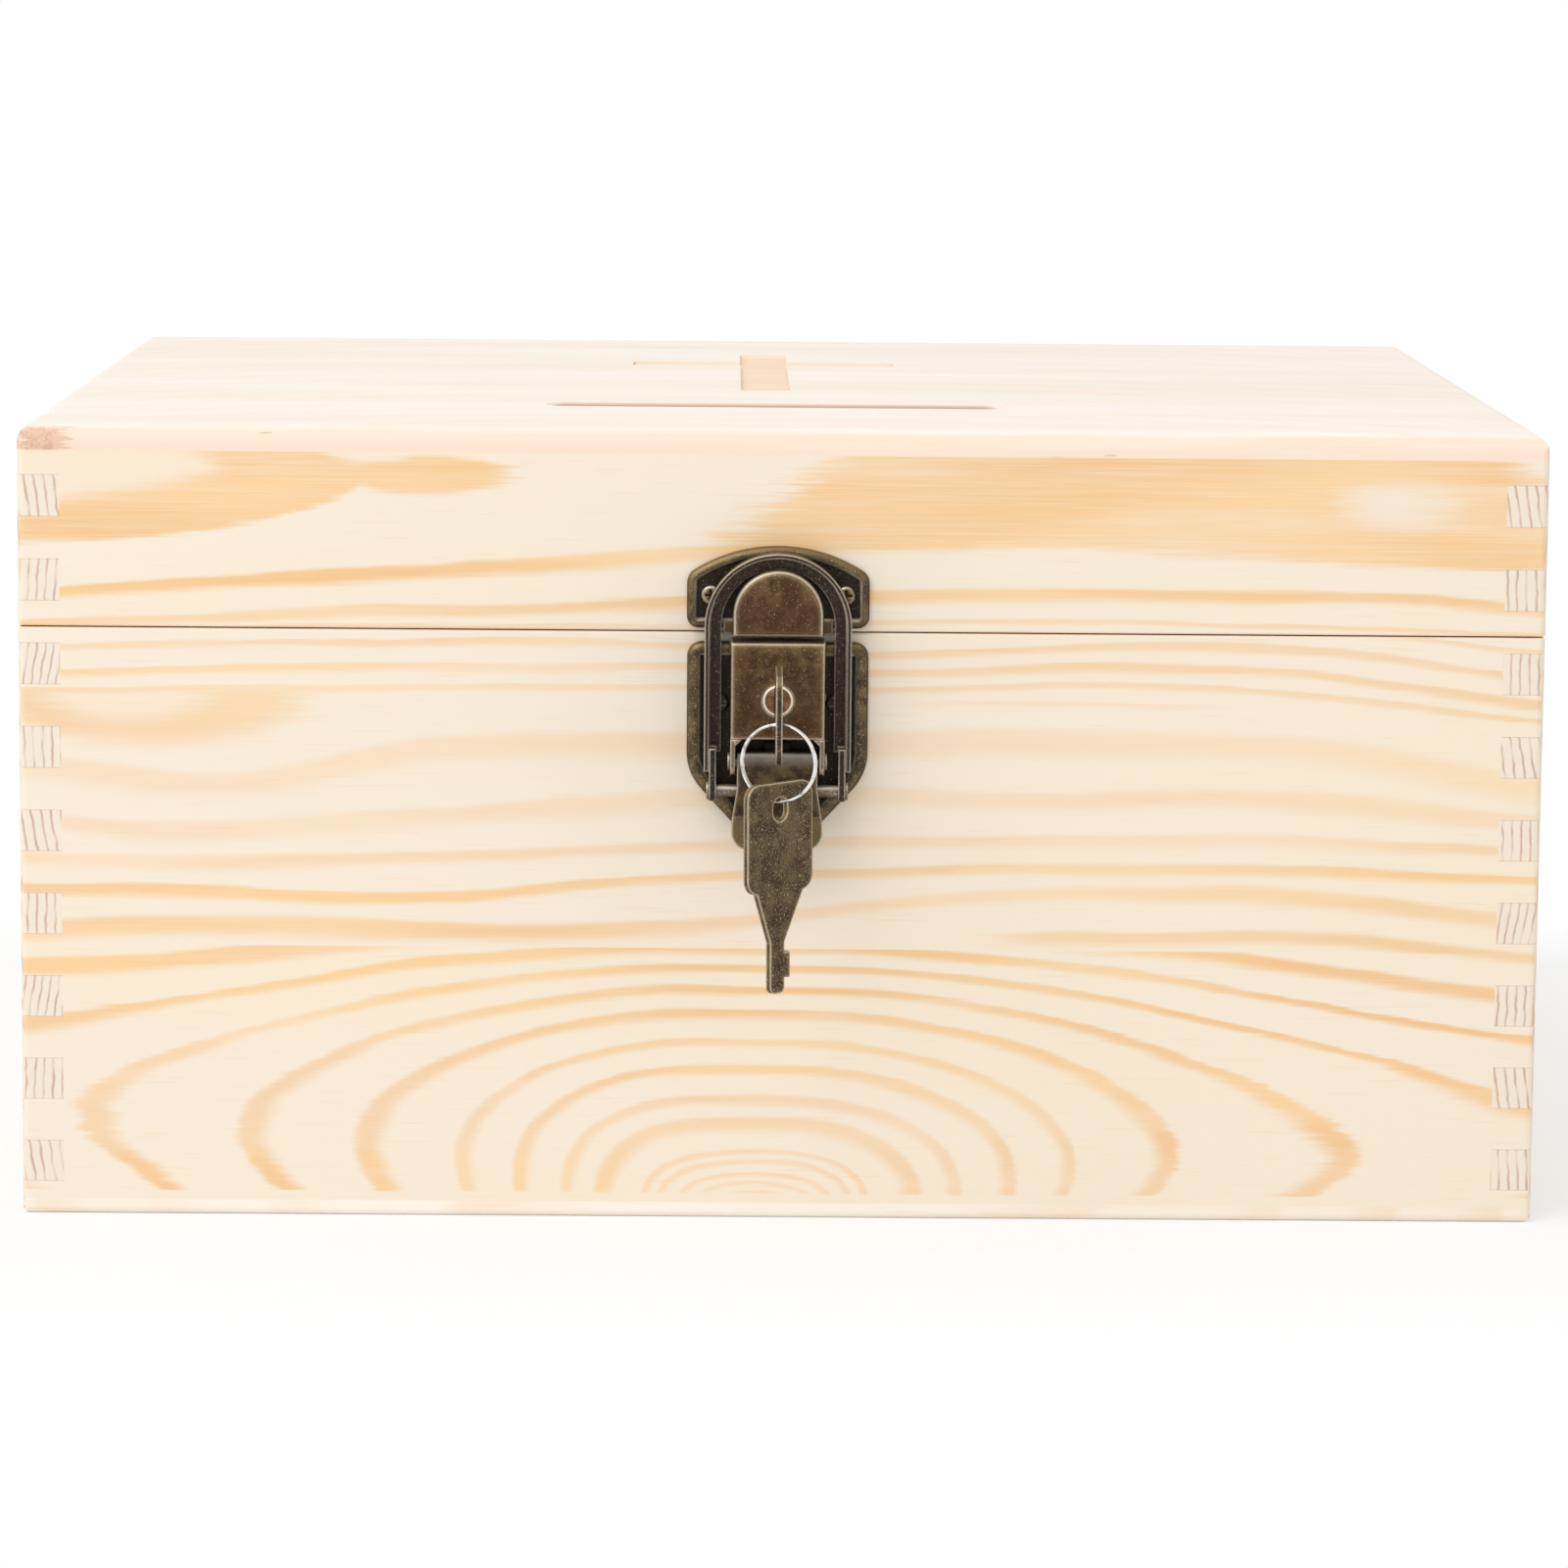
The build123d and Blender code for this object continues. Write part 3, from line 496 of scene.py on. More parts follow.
    def complete(self, timber, figure, tone, offset=0.0, inner=0.0, variety=1.0):
        """Joins long grain, end grain and joint lines into the sockets of the shader."""
        paler = self.noise(self.slow, 30.0, 1.0).rise(0.35, 0.65) * variety
        early = self.mix(paler, tone, timber.sapwood)
        darker = self.noise(self.slow, 12.0, 1.0).rise(0.3, 0.7)
        late = self.mix(darker, timber.latewood, timber.resin)
        long_grain = self.mix(figure * (0.92 + self.fibre * 0.4), early, late)
        long_grain = self.mix(
            self.streaks.spread(0.5, 0.8, 0.0, timber.streaks), long_grain, timber.streak
        )
        blush = self.noise(self.stretched(12.0), 5.0, 2.0)
        long_grain = self.mix(blush.spread(0.5, 0.75, 0.0, 0.3), long_grain, timber.blush)
        pores = self.noise(self.stretched(26.0), 0.4, 0.0)
        long_grain = self.mix(pores.spread(0.74, 0.82, 0.0, 0.18), long_grain, timber.resin)
        rings = self.ends()
        end = self.mix(rings, timber.end_grain, timber.end_line)
        is_end = self.facing(self.end_axis).rise(0.55, 0.8)
        wood = self.mix(is_end, long_grain, end)
        if inner:
            wood = self.mix(is_end * self.joint_line(offset, inner) * 0.4, wood, timber.joint)
        # Painted shade: faces in the seam's gap near the outer faces are browned as the gap's
        # shade
        skin = (abs(self.x) - half_width).greater(abs(self.y) - half_depth).rise(*GAP_SHADE_DEPTH)
        cut = self.facing("Z").rise(0.72, 0.9) * abs(self.z - seam).rise(*GAP_SHADE_REACH) * skin
        wood = self.mix(cut * 0.55, wood, timber.knot_and_shade_brown)
        relief = self.fibre * 0.5 + self.streaks * 0.5 + figure * 0.4 + rings * is_end * 0.8
        self.set(
            base_color=wood,
            roughness=self.fibre.spread(0.2, 0.8, timber.polish, timber.polish + 0.12),
            normal=self.bump(relief, 0.35, 0.06),
        )
        self.shader.inputs["Specular IOR Level"].default_value = 0.35
        return self.material


class Timber(bpy.types.PropertyGroup):
    sapwood: colour("Sapwood", "Pale wood between the growth bands", (0.90, 0.80, 0.665))
    warm_sapwood: colour("Warm sapwood", "Yellower parts of the pale wood", (0.915, 0.795, 0.625))
    lid_sapwood: colour("Lid sapwood", "Pinker pale wood of the lid's top", (0.975, 0.915, 0.845))
    latewood: colour("Latewood", "Growth bands", (0.928, 0.640, 0.338))
    resin: colour("Resin", "Darkest parts of the bands", (0.87, 0.545, 0.262))
    streak: colour("Streak", "Fine fibres between the bands", (0.92, 0.76, 0.57))
    blush: colour("Blush", "Faint pink clouds of the pale wood", (0.93, 0.78, 0.66))
    end_grain: colour("End grain", "Cut ends of the boards", (0.88, 0.775, 0.655))
    end_line: colour("End rings", "Growth rings on the cut ends", (0.55, 0.34, 0.235))
    joint: colour("Joint line", "Hairline round the fingers", (0.50, 0.32, 0.20))
    lid_blush: colour("Lid blush", "Pink in the lid's top and edge", (0.945, 0.745, 0.600))
    # Brown of the knot, also used as painted shade in the seam's gap and on the paper slot's walls
    knot_and_shade_brown: colour("Saw scorch", "Edges browned by the saw", (0.72, 0.42, 0.27))
    knot: colour("Knot", "Dark grain at the lid's corner", (0.40, 0.22, 0.14))
    streaks: share("Streaks", "How much the fine fibres show", 0.35)
    polish: share("Sanding", "Roughness of the sanded wood", 0.5)


class Metal(Finish):
    """Plated sheet metal: mottled flats, fine specks, edges lightened by abrasion and by painted
    highlights, and faces painted lighter or darker by how they face the light.
    """

    # Sizes of the noises, in millimetres
    MOTTLE = 3.0
    CLOUD = 6.0
    SPECK = 0.3
    SCRATCH = 0.45
    # Painted light: surfaces that face this way are painted lighter, and surfaces facing away
    # painted darker
    LIGHT_SIDE = (-0.35, -0.2, 0.92)

    def plated(self, bronze, face, dark, edge, abrasion_and_highlight_strength=0.5, halo=0.0, floor=None, metallic=0.85,
               rounding=0.5, shade=None, grit=0.65, cloudy=0.12, fillet_highlight=0.0):
        """Face, dark and edge are colours, halo and rounding are widths. Floor is the depth in
        front of the box up to which the metal is painted dark as shade on its sunken floor,
        shade two heights between which that painted shade fades towards the top. The others
        are strengths."""
        mottle = self.noise(self.millimetres, self.MOTTLE, 4.0, 0.6)
        grains = self.noise(self.millimetres, self.SPECK, 3.0, 0.75)
        dots = self.noise(self.millimetres, self.SPECK, 1.0, 0.5)
        clouds = self.noise(self.millimetres, self.CLOUD, 3.0, 0.65)
        drawn = self.vector("MULTIPLY", self.millimetres, (2.4, 2.4, 0.4))
        scratches = self.noise(drawn, self.SCRATCH, 3.0, 0.6, 1.6)
        flat = self.mix(mottle.rise(0.36, 0.64), dark, face)
        flat = self.mix(clouds.spread(0.48, 0.66, 0.0, cloudy), flat, edge)
        flat = self.mix(grains.spread(0.46, 0.72, 0.0, bronze.specks * grit), flat, edge)
        flat = self.mix(grains.spread(0.46, 0.3, 0.0, bronze.specks * grit), flat, bronze.speck_and_shade_black)
        if halo:
            rim = self.edges(halo, 3.4) * mottle.spread(0.3, 0.7, 0.6, 1.0)
            flat = self.mix(rim, flat, edge)
        # Painted shade: the piece grows darker towards its bottom
        if shade is not None:
            flat = self.mix(self.z.spread(shade[0], shade[1], 0.55, 0.0), flat, dark)
        # Painted shade: the plate's sunken floor, close to the box's face, is painted dark
        if floor is not None:
            depth = -half_depth - self.y
            flat = self.mix(depth.rise(floor + 0.5, floor + 0.15) * 0.85, flat, bronze.speck_and_shade_black)
        flat = self.mix(scratches.spread(0.63, 0.72, 0.0, 0.3 * grit), flat, bronze.olive)
        flat = self.mix(dots.spread(0.67, 0.77, 0.0, 0.42 * grit), flat, bronze.bright)
        eased = self.eased(rounding)
        toward_light = Field(self, self.vector("DOT_PRODUCT", eased, self.LIGHT_SIDE))
        # Painted light and shade: faces turned to the light take the edge colour, faces turned
        # away get painted shade
        flat = self.mix(toward_light.spread(0.28, 0.85, 0.0, 0.75), flat, edge)
        flat = self.mix(toward_light.spread(-0.1, -0.75, 0.0, 0.6), flat, bronze.speck_and_shade_black)
        # The line along the edges is partly real abrasion and partly a painted highlight: weaker
        # on faces turned from the light, and less metallic so that it shows from every side
        line = self.edges(max(bronze.abrasion_and_highlight_width * PER_MM, rounding * 0.6), 14.0)
        abrasion_and_highlight = line * grains.spread(0.34, 0.56, abrasion_and_highlight_strength * 0.65, abrasion_and_highlight_strength)
        abrasion_and_highlight = abrasion_and_highlight * toward_light.spread(-0.4, 0.3, 0.6, 1.0)
        # Painted highlight along the rounded fillets, where the edge catches the light
        if fillet_highlight:
            turn = self.facing("Y")
            bend = turn.rise(0.45, 0.7) * turn.rise(0.98, 0.9)
            abrasion_and_highlight = abrasion_and_highlight.greater(bend * grains.spread(0.34, 0.56, fillet_highlight * 0.6, fillet_highlight))
        rough = self.bump(grains * 0.6 + mottle * 0.4, 0.3, 0.03)
        self.feed(rough.node.inputs["Normal"], eased)
        self.set(
            base_color=self.mix(abrasion_and_highlight.clipped(), flat, bronze.bright),
            metallic=metallic - abrasion_and_highlight.clipped() * 0.6,
            roughness=mottle.spread(0.3, 0.7, bronze.polish, bronze.polish + 0.16) - abrasion_and_highlight * 0.1,
            normal=rough,
        )
        return self.material


class Bronze(bpy.types.PropertyGroup):
    plate: colour("Plate", "Olive brown of the pressed plates", (0.135, 0.092, 0.043))
    brown: colour("Brown", "Warm brown faces", (0.124, 0.060, 0.025))
    umber: colour("Umber", "Darker clouds on the brown faces", (0.070, 0.031, 0.015))
    dark: colour("Dark", "Darkest plating", (0.048, 0.029, 0.02))
    black: colour("Bail black", "Nearly black plating of the bail", (0.026, 0.021, 0.019))
    # Near black: the dark specks, and painted shade on sunken floors, on faces turned from the
    # light, on the lever above its tab, in the screws' cross and on the latch base's screws
    speck_and_shade_black: colour("Recess", "Plating that never gets rubbed", (0.010, 0.0075, 0.006))
    # Olive plating near the edges, also the tint of painted light on faces turned to the light
    olive: colour("Olive", "Rubbed plating near the edges", (0.27, 0.195, 0.085))
    # Bare metal along the edges, partly real abrasion and partly a painted highlight; also the
    # light specks
    bright: colour("Worn edge", "Bare metal along the edges", (0.86, 0.75, 0.58))
    # Painted highlight on the thumb lever's rolled lip
    lit: colour("Rubbed lip", "Silvery lip of the thumb lever", (0.37, 0.32, 0.28))
    key: colour("Key", "Olive plating of the keys", (0.115, 0.085, 0.052))
    plug: colour("Lock plug", "Coppery face of the plug", (0.42, 0.23, 0.12))
    plug_rim: colour("Plug rim", "Bright ring round the plug", (0.95, 0.82, 0.68))
    steel: colour("Pins", "Dull plated pins", (0.16, 0.145, 0.135))
    specks: share("Specks", "How much the speckling shows", 0.55)
    polish: share("Polish", "Roughness of the plating", 0.34)
    # The edge line is partly real abrasion and partly a painted highlight
    abrasion_and_highlight_width: length("Wear", "Width of the worn line along edges", 0.0005)


class RingWire(bpy.types.PropertyGroup):
    wire: length("Wire", "Radius of the ring's wire", 0.00028)
    turns: bpy.props.FloatProperty(
        name="Turns", description="Turns of the split ring", default=1.84, min=1.0, max=3.0
    )
    silver: colour("Silver", "Bright plated wire", (0.86, 0.85, 0.83))
    tarnish: colour("Tarnish", "Grey clouds on the wire", (0.34, 0.33, 0.32))


class Studio(bpy.types.PropertyGroup):
    floor_size: length("Floor", "Side of the floor", 12.0)
    floor_white: colour("Floor white", "Colour of the floor", (0.96, 0.96, 0.96))
    paper_white: colour("Backdrop white", "Colour that the floor fades to", WHITE)
    shadow_reach: length("Shadow reach", "How far from the box the floor fades to white", 0.12)
    sky: share("Sky", "Even light from all round", 0.78)
    key_power: bpy.props.FloatProperty(
        name="Key lamp", description="Power of the soft lamp", default=14.0, min=0.0, unit="POWER"
    )
    key_size: length("Key size", "Side of the soft lamp", 1.4)


class BALLOTBOX_OT_front_boards(bpy.types.Operator):
    """Dress the three boards of the latch side, whose grain the photograph shows"""
    bl_idname = "ballotbox.front_boards"
    bl_label = "Front boards"

    def execute(self, context):
        timber = context.scene.timber
        boards = (
            ("front_board_lower", 11.0, lambda board: board.cathedral(LOWER_BOARD_RINGS)),
            ("front_board_upper", 23.0, upper_board_figure),
            ("lid_front_rail", 37.0, lid_front_figure),
        )
        for node, seed, figure in boards:
            board = PineBoard(node + "_pine", "xzy", seed)
            board.complete(timber, figure(board), timber.warm_sapwood, FINGER, half_width - wall)
            dress(node, board.material)
        return {"FINISHED"}


def upper_board_figure(board):
    """The long bands, and the broad patch at the left with its light middle."""
    patch = board.blot(*UPPER_PATCH) * (board.across + board.torn * 0.8).rise(*UPPER_PATCH_TOP)
    middle = board.blot(*UPPER_PATCH_LIGHT, 1.3, 0.5)
    return board.bands(UPPER_BOARD_BANDS).greater(patch * (1.0 - middle * 0.75) * 0.62)


def lid_front_figure(board):
    """Thin bands low on the rail, and two broad patches where the saw met the rings flat."""
    ragged = board.level + board.wander * 3.0 + board.torn * 2.0
    torn_along = board.along + board.torn * 20.0
    left = left_patch(board, ragged, torn_along)
    right = right_patch(board, ragged, torn_along)
    cloudy = board.noise(board.slow, 9.0, 2.0).spread(0.3, 0.6, 0.72, 1.0)
    combed = board.streaks.spread(0.35, 0.65, 1.0, 0.72)
    patch = left.greater(right) * cloudy * combed * 0.98
    return patch.greater(board.bands(LID_FRONT_BANDS))


def left_patch(board, ragged, torn_along):
    """A patch with a pale tongue at the rail's end, and a notched lobe at its right."""
    patch = (ragged - board.along_curve(LEFT_PATCH_EDGE)).rise(-0.7, 0.9)
    patch = patch * torn_along.rise(*LEFT_PATCH_END)
    floor = ragged - TONGUE_FLOOR - (board.along + REACH) * TONGUE_CLIMB
    ceiling = ragged - TONGUE_CEILING + (board.along - TONGUE_CEILING_AT) * TONGUE_FALL
    tongue = floor.rise(-0.6, 4.2) * ceiling.rise(5.5, -1.5) * torn_along.rise(*TONGUE_END)
    patch = patch * (1.0 - tongue * 0.88)
    lobe = board.blot(*LID_LOBE, 1.15, 0.8)
    return patch.greater(lobe) * (1.0 - board.blot(*LID_LOBE_NOTCH) * 0.85)


def right_patch(board, ragged, torn_along):
    """A patch that starts on a torn slant, with a light middle and a cut corner."""
    lean = (RIGHT_PATCH_HEIGHT - board.across) * RIGHT_PATCH_LEAN
    slant = board.along + lean + board.torn * 34.0 + board.ripple * 10.0
    patch = (ragged - board.along_curve(RIGHT_PATCH_EDGE)).rise(-0.7, 1.0)
    patch = patch * slant.rise(*RIGHT_PATCH_START)
    corner = (torn_along + board.across - RIGHT_CORNER_FOOT).rise(*RIGHT_CORNER)
    return patch * (1.0 - board.blot(*LID_RIGHT_LIGHT, 1.5, 0.4) * 0.8) * corner


class BALLOTBOX_OT_case_boards(bpy.types.Operator):
    """Dress the base, back and sides of the lower half"""
    bl_idname = "ballotbox.case_boards"
    bl_label = "Case boards"

    def execute(self, context):
        timber = context.scene.timber
        boards = (
            ("base_panel", "xyz", 51.0, 13.0, 20.0, 0.0, 0.0, timber.lid_sapwood, 0.3),
            ("body_back_panel", "xzy", 67.0, 10.0, 14.0, FINGER, half_width - wall),
            ("body_left_panel", "yzx", 83.0, 9.0, 12.0, 0.0, half_depth - wall),
            ("body_right_panel", "yzx", 97.0, 11.0, -10.0, 0.0, half_depth - wall),
        )
        for row in boards:
            plain_board(timber, *row)
        return {"FINISHED"}


def plain_board(timber, node, grain, seed, spacing, bow, offset, inner, tone=None, strength=0.75):
    """Dresses a board that the latch side doesn't show."""
    board = PineBoard(node + "_pine", grain, seed)
    figure = board.even_bands(spacing, bow, strength)
    dress(node, board.complete(timber, figure, tone or timber.warm_sapwood, offset, inner))


class BALLOTBOX_OT_lid_boards(bpy.types.Operator):
    """Dress the lid's top and its back and side rails"""
    bl_idname = "ballotbox.lid_boards"
    bl_label = "Lid boards"

    def execute(self, context):
        timber = context.scene.timber
        boards = (
            ("lid_back_rail", "xzy", 109.0, 9.0, 8.0, FINGER, half_width - wall),
            ("lid_left_rail", "yzx", 127.0, 8.0, 9.0, 0.0, half_depth - wall),
            ("lid_right_rail", "yzx", 139.0, 10.0, -8.0, 0.0, half_depth - wall),
        )
        for row in boards:
            plain_board(timber, *row)
        self.lid_top(timber)
        return {"FINISHED"}

    def lid_top(self, timber):
        """Pale wood, knotted at the front edge, darker in the cross, and browned with painted
        shade on the slot's walls.
        """
        top = PineBoard("lid_top_pine", "xyz", 151.0)
        below = top.z - lid_height
        behind = top.y + half_depth
        rounding = below.rise(*ROUNDING_DROP) * behind.rise(*ROUNDING_DEPTH)
        grain = top.noise(top.stretched(16.0), 1.6, 2.0).spread(0.35, 0.62, 0.0, 0.35)
        figure = top.even_bands(17.0, 22.0, 0.1).greater(rounding * grain)
        sunk = below.rise(*CROSS_MOUTH) * below.rise(*CROSS_FLOOR)
        sunk = sunk * top.facing("Z").rise(0.93, 0.98)
        top.complete(timber, figure.greater(sunk * 0.55), timber.lid_sapwood, variety=0.5)
        wood = top.painted()
        flush = top.noise(top.stretched(14.0), 3.0, 3.0).spread(0.4, 0.65, 0.02, 0.24)
        edge_blush = rounding * top.x.spread(-30.0, 60.0, 1.0, 0.75)
        wood = top.mix(flush.greater(edge_blush), wood, timber.lid_blush)
        knot = top.blot(*LID_KNOT) * rounding
        swirl = top.noise(top.millimetres, 1.6, 3.0, 0.6, 1.2).rise(0.42, 0.66)
        wood = top.mix(knot * 0.6, wood, timber.knot_and_shade_brown)
        wood = top.mix(knot * swirl * 0.35, wood, timber.knot)
        flecks = top.noise(top.stretched(9.0), 1.1, 1.0).rise(0.75, 0.8) * rounding * 0.5
        wood = top.mix(flecks, wood, timber.knot)
        # Painted shade: the paper slot's walls are browned as the shade in the slot
        inside = behind.rise(*SLOT_FRONT) * (top.y - SLOT_BACK).rise(*SLOT_BACK_FADE)
        inside = inside * top.facing("Y").rise(0.5, 0.8)
        top.set(base_color=top.mix(inside * 0.7, wood, timber.knot_and_shade_brown))
        dress("lid_top_panel", top.material)


class BALLOTBOX_OT_latch_plates(bpy.types.Operator):
    """Dress the two pressed plates of the latch"""
    bl_idname = "ballotbox.latch_plates"
    bl_label = "Latch plates"

    def execute(self, context):
        bronze = context.scene.bronze
        for node, halo in (("strike_plate", 0.0), ("latch_base_plate", 0.9)):
            metal = Metal(node + "_bronze")
            dress(node, metal.plated(
                bronze, bronze.plate, bronze.dark, bronze.olive, 0.95, halo, 1.0, rounding=0.9,
                grit=1.2, cloudy=0.25,
            ))
        return {"FINISHED"}


class BALLOTBOX_OT_latch_works(bpy.types.Operator):
    """Dress the hook, the bail, the lock housing and the thumb lever"""
    bl_idname = "ballotbox.latch_works"
    bl_label = "Latch works"

    def execute(self, context):
        bronze = context.scene.bronze
        parts = (
            ("strike_hook", bronze.brown, bronze.umber, 1.0, 3.0, 1.5, 0.28, 0.6),
            ("lock_housing", bronze.brown, bronze.umber, 1.0, 3.0, 1.1, 0.28, 0.45),
            ("thumb_lever", bronze.plate, bronze.dark, 0.75, 1.6, 0.9, 0.2, 0.0),
            ("bail_loop", bronze.dark, bronze.black, 0.95, 0.0, 0.6, 0.0, 0.0),
        )
        for node, face, dark, abrasion_and_highlight_strength, halo, rounding, cloudy, fillet_highlight in parts:
            low, high = (corner.z * PER_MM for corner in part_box(node))
            metal = Metal(node + "_bronze")
            # Each piece's dark colour also serves as its painted shade, darker towards the piece's
            # bottom
            metal.plated(
                bronze, face, dark, bronze.olive, abrasion_and_highlight_strength, halo, rounding=rounding, shade=(low, high),
                cloudy=cloudy, fillet_highlight=fillet_highlight,
            )
            if node == "thumb_lever":
                tab = seam - TAB_DEPTH
                face = metal.painted()
                # Painted highlight along the lever's lip
                lip = metal.z.rise(tab - LIP_HEIGHT, tab - TAB_FADE) * 0.65
                face = metal.mix(lip, face, bronze.lit)
                # Painted shade on the lever above its tab, which lies behind the housing
                behind = metal.z.rise(tab, tab + TAB_FADE)
                metal.set(base_color=metal.mix(behind, face, bronze.speck_and_shade_black))
            dress(node, metal.material)
        return {"FINISHED"}


class BALLOTBOX_OT_hinges_and_screws(bpy.types.Operator):
    """Dress the back hinges and every screw"""
    bl_idname = "ballotbox.hinges_and_screws"
    bl_label = "Hinges and screws"

    def execute(self, context):
        bronze = context.scene.bronze
        leaf = Metal("hinge_leaf_bronze").plated(
            bronze, bronze.plate, bronze.dark, bronze.olive, 0.7, 1.5
        )
        screw = Metal("screw_bronze").plated(
            bronze, bronze.olive, bronze.plate, bronze.bright, 0.6
        )
        # The latch base's screws get painted shade: dark colours for the shade they sit in between
        # the bail and the housing
        shaded_screw = Metal("hidden_screw_bronze").plated(
            bronze, bronze.dark, bronze.speck_and_shade_black, bronze.plate, 0.35
        )
        for side in ("left", "right"):
            for part in ("hinge_body_leaf_", "hinge_lid_leaf_", "hinge_pin_"):
                dress(part + side, leaf)
        for group in ("hinge_body", "hinge_lid"):
            dress(group + "_screws", screw)
        dress("latch_base_screws", shaded_screw)
        dress("strike_screws", self.crossed(bronze))
        return {"FINISHED"}

    def crossed(self, bronze):
        """The strike's two screws: an olive rim, a brown middle and a cross painted dark as the
        shade in its recess.
        """
        metal = Metal("strike_screw_bronze")
        low, high = (corner * PER_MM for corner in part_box("strike_screws"))
        head = (high.z - low.z) / 2
        middle = (low + high) / 2
        beside = abs(abs(metal.x - middle.x) - ((high.x - low.x) / 2 - head))
        above = abs(metal.z - middle.z)
        radius = (beside * beside + above * above).root() / head
        metal.plated(bronze, bronze.olive, bronze.plate, bronze.bright, 0.7)
        face = metal.painted()
        face = metal.mix(radius.rise(0.72, 0.5) * 0.75, face, bronze.brown)
        # Painted shade: the cross recess on each head is painted dark
        cross = beside.lesser(above).rise(0.3, 0.16) * radius.rise(0.72, 0.6)
        metal.set(base_color=metal.mix(cross * 0.8, face, bronze.speck_and_shade_black))
        return metal.material


# Radius of the plug's rim, and the width over which its face turns into it
PLUG_RIM = 2.6
RIM_FADE = 0.25


class BALLOTBOX_OT_lock_and_pins(bpy.types.Operator):
    """Dress the lock's plug and cam and the latch's two pins"""
    bl_idname = "ballotbox.lock_and_pins"
    bl_label = "Lock and pins"

    def execute(self, context):
        bronze = context.scene.bronze
        pin = Metal("pin_steel").plated(bronze, bronze.steel, bronze.plate, bronze.bright, 0.5)
        for node in ("lever_pivot_pin", "bail_pin", "lock_cam"):
            dress(node, pin)
        plug = Metal("plug_bronze")
        low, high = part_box("lock_plug")
        centre = (low + high) * PER_MM / 2
        beside, above = plug.x - centre.x, plug.z - centre.z
        radius = (beside * beside + above * above).root()
        rim = radius.rise(PLUG_RIM - RIM_FADE, PLUG_RIM)
        plug.plated(bronze, bronze.plug, bronze.brown, bronze.olive, 0.4)
        face = plug.painted()
        plug.set(base_color=plug.mix(rim, face, bronze.plug_rim))
        dress("lock_plug", plug.material)
        return {"FINISHED"}


class BALLOTBOX_OT_keys(bpy.types.Operator):
    """Dress the key in the lock and the spare"""
    bl_idname = "ballotbox.keys"
    bl_label = "Keys"

    def execute(self, context):
        bronze = context.scene.bronze
        spare = Metal("spare_key_bronze")
        dress("spare_key", spare.plated(
            bronze, bronze.key, bronze.dark, bronze.olive, 0.85, 1.5, rounding=0.35, grit=1.5,
        ))
        used = Metal("key_in_lock_bronze")
        broad = used.facing("X").rise(0.6, 0.8)
        face = used.mix(broad, bronze.dark, bronze.key)
        dark = used.mix(broad, bronze.black, bronze.dark)
        dress("key_in_lock", used.plated(
            bronze, face, dark, bronze.olive, 0.85, rounding=0.3, grit=1.0,
        ))
        return {"FINISHED"}


# The coil's steps, where its wire starts, and its inset and pitch in radii of the wire
COIL_STEPS = 150
COIL_START = radians(238.0)
COIL_INSET = 1.25
COIL_PITCH = 2.1


class BALLOTBOX_OT_key_ring(bpy.types.Operator):
    """Wind the split ring that carries the keys"""
    bl_idname = "ballotbox.key_ring"
    bl_label = "Key ring"

    def execute(self, context):
        wire = context.scene.ring_wire
        low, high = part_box("key_ring")
        centre = (low + high) / 2
        outer = (high.z - low.z) / 2
        radius = outer - wire.wire * COIL_INSET
        swing = next(joint for joint in frame["joints"] if joint["name"] == "ring_swing")
        normal = Vector(swing["axis"]).normalized()
        across = normal.cross(Vector((0, 0, 1)))
        path = bpy.data.curves.new("key_ring_wire", "CURVE")
        path.dimensions = "3D"
        path.bevel_depth = wire.wire
        path.bevel_resolution = 4
        path.use_fill_caps = True
        line = path.splines.new("POLY")
        line.points.add(COIL_STEPS)
        for row, point in enumerate(line.points):
            part = row / COIL_STEPS
            angle = COIL_START - part * wire.turns * 2 * pi
            lift = (part - 0.5) * wire.turns * wire.wire * COIL_PITCH
            spot = centre + across * (radius * cos(angle)) + Vector((0, 0, radius * sin(angle)))
            point.co = (*(spot + normal * lift), 1.0)
        ring = bpy.data.objects.new("split_ring", path)
        context.scene.collection.objects.link(ring)
        metal = Finish("ring_silver")
        dull = metal.noise(metal.millimetres, 1.4, 3.0)
        metal.set(
            base_color=metal.mix(dull.rise(0.48, 0.72), wire.silver, wire.tarnish),
            metallic=1.0,
            roughness=dull.spread(0.3, 0.7, 0.16, 0.3),
            normal=metal.bump(dull, 0.1, 0.02),
        )
        path.materials.append(metal.material)
        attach(ring, "ring")
        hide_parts("key_ring")
        return {"FINISHED"}


CAMERA_SPOT = (-0.01142, -1.25907, 0.24451)
CAMERA_YAW = 0.0105
CAMERA_PITCH = 0.1403
CAMERA_ROLL = 0.0088
CAMERA_LENS = 138.12
CAMERA_NEAR = 0.05
SENSOR_WIDTH = 36.0
LAMP_SPOT = Vector((-0.9, -1.1, 1.5))
LAMP_TARGET = Vector((0.0, 0.0, 0.08))
# How much of the floor's white glows of itself at the foot of the box
FLOOR_GLOW = 0.45


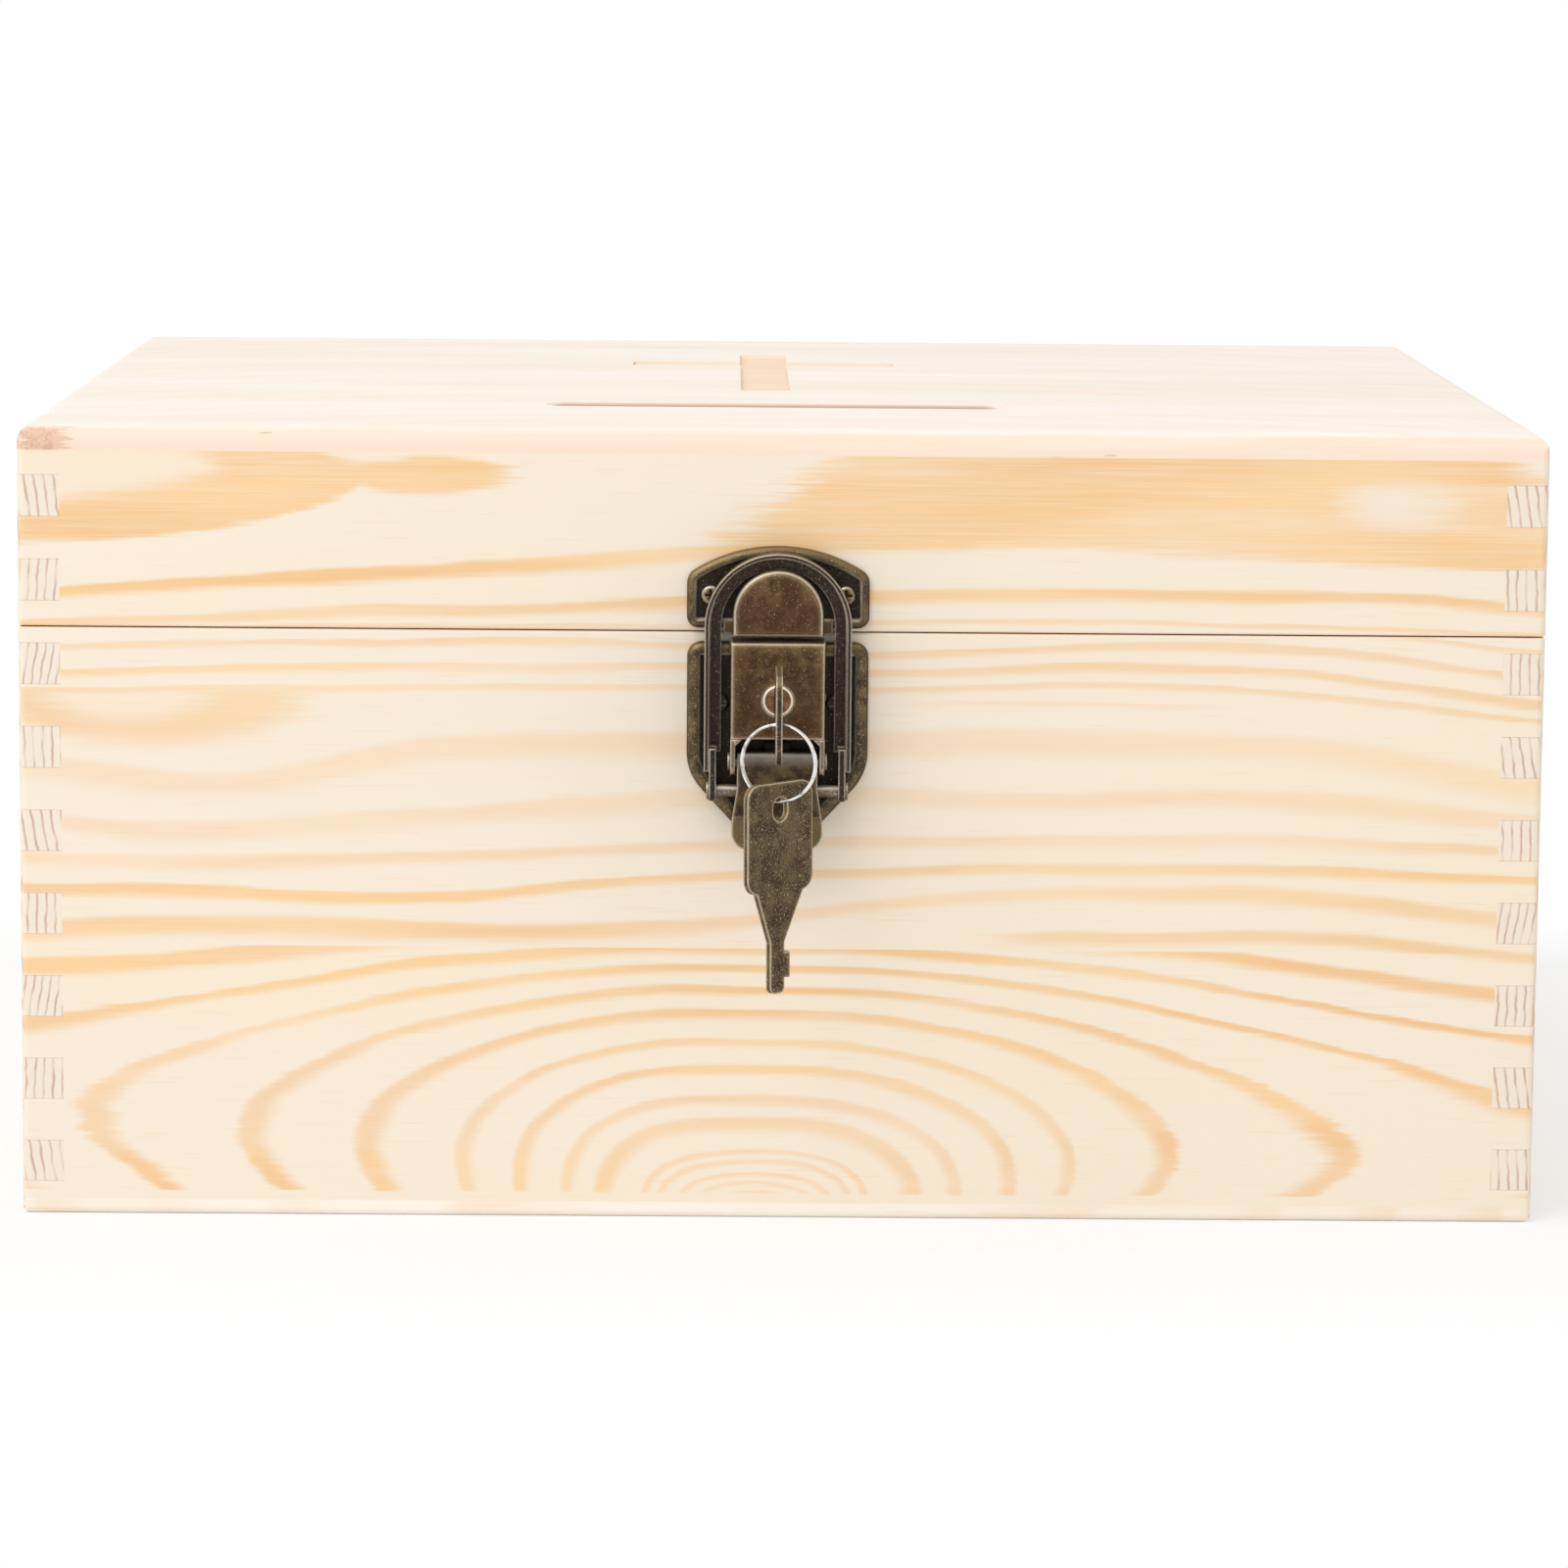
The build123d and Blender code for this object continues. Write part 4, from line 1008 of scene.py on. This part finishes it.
class BALLOTBOX_OT_studio(bpy.types.Operator):
    """Set the floor, the even sky, the soft lamp and the camera"""
    bl_idname = "ballotbox.studio"
    bl_label = "Studio"

    def execute(self, context):
        scene = context.scene
        studio = scene.studio
        scene.view_settings.view_transform = "Standard"
        half = studio.floor_size / 2
        sheet = bpy.data.meshes.new("floor")
        corners = [(-half, -half, 0), (half, -half, 0), (half, half, 0), (-half, half, 0)]
        sheet.from_pydata(corners, [], [(0, 1, 2, 3)])
        floor = bpy.data.objects.new("floor", sheet)
        scene.collection.objects.link(floor)
        paper = Finish("floor_paper")
        paper.set(base_color=studio.floor_white, roughness=0.9)
        paper.shader.inputs["Specular IOR Level"].default_value = 0.0
        beyond = (abs(paper.x) - half_width).greater(abs(paper.y) - half_depth)
        glow = paper.add("Emission", sockets={"Color": studio.paper_white, "Strength": 1.0})
        fade = beyond.spread(0.0, studio.shadow_reach * PER_MM, FLOOR_GLOW, 1.0) * paper.seen()
        shaders = {0: fade, 1: paper.shader.outputs[0], 2: glow.outputs[0]}
        both = paper.add("MixShader", sockets=shaders)
        paper.feed(paper.tree.nodes["Material Output"].inputs[0], both.outputs[0])
        sheet.materials.append(paper.material)
        self.light(scene, studio)
        self.aim(scene)
        return {"FINISHED"}

    def light(self, scene, studio):
        world = bpy.data.worlds.new("even_sky")
        scene.world = world
        world.use_nodes = True
        world.node_tree.nodes.clear()
        sky = Shading(world.node_tree)
        even, backdrop = (
            sky.add("Background", sockets={"Color": WHITE, "Strength": strength}).outputs[0]
            for strength in (studio.sky, 1.0)
        )
        either = sky.add("MixShader", sockets={0: sky.seen(), 1: even, 2: backdrop})
        sky.add("OutputWorld", sockets={"Surface": either.outputs[0]})
        lamp = bpy.data.lights.new("soft_lamp", "AREA")
        lamp.size = studio.key_size
        lamp.energy = studio.key_power
        holder = bpy.data.objects.new("soft_lamp", lamp)
        scene.collection.objects.link(holder)
        holder.location = LAMP_SPOT
        holder.rotation_euler = (LAMP_TARGET - LAMP_SPOT).to_track_quat("-Z", "Y").to_euler()

    def aim(self, scene):
        lens = bpy.data.cameras.new("camera")
        lens.lens = CAMERA_LENS
        lens.sensor_width = SENSOR_WIDTH
        lens.clip_start = CAMERA_NEAR
        camera = bpy.data.objects.new("camera", lens)
        scene.collection.objects.link(camera)
        ahead = Vector((sin(CAMERA_YAW), cos(CAMERA_YAW), 0.0))
        forward = ahead * cos(CAMERA_PITCH) - Vector((0.0, 0.0, sin(CAMERA_PITCH)))
        level = Vector((cos(CAMERA_YAW), -sin(CAMERA_YAW), 0.0))
        upright = level.cross(forward)
        right = level * cos(CAMERA_ROLL) + upright * sin(CAMERA_ROLL)
        up = upright * cos(CAMERA_ROLL) - level * sin(CAMERA_ROLL)
        turn = Matrix((right, up, -forward)).transposed().to_4x4()
        camera.matrix_world = Matrix.Translation(CAMERA_SPOT) @ turn
        scene.camera = camera


OPERATORS = (
    BALLOTBOX_OT_front_boards,
    BALLOTBOX_OT_case_boards,
    BALLOTBOX_OT_lid_boards,
    BALLOTBOX_OT_latch_plates,
    BALLOTBOX_OT_latch_works,
    BALLOTBOX_OT_hinges_and_screws,
    BALLOTBOX_OT_lock_and_pins,
    BALLOTBOX_OT_keys,
    BALLOTBOX_OT_key_ring,
    BALLOTBOX_OT_studio,
)
GROUPS = {"timber": Timber, "bronze": Bronze, "ring_wire": RingWire, "studio": Studio}


class BALLOTBOX_PT_panel(bpy.types.Panel):
    """The box's finishes and studio"""
    bl_idname = "BALLOTBOX_PT_panel"
    bl_label = "Ballot box"
    bl_space_type = "VIEW_3D"
    bl_region_type = "UI"
    bl_category = "Ballot box"

    def draw(self, context):
        for operator in OPERATORS:
            self.layout.operator(operator.bl_idname)
        for name, group in GROUPS.items():
            box = self.layout.box()
            for field in group.__annotations__:
                box.prop(getattr(context.scene, name), field)


def register():
    for cls in (*GROUPS.values(), *OPERATORS, BALLOTBOX_PT_panel):
        bpy.utils.register_class(cls)
    for name, group in GROUPS.items():
        setattr(bpy.types.Scene, name, bpy.props.PointerProperty(type=group))


def unregister():
    for name in GROUPS:
        delattr(bpy.types.Scene, name)
    for cls in (*GROUPS.values(), *OPERATORS, BALLOTBOX_PT_panel):
        bpy.utils.unregister_class(cls)


def main():
    register()
    for operator in OPERATORS:
        family, name = operator.bl_idname.split(".")
        getattr(getattr(bpy.ops, family), name)()


if __name__ == "__main__":
    main()
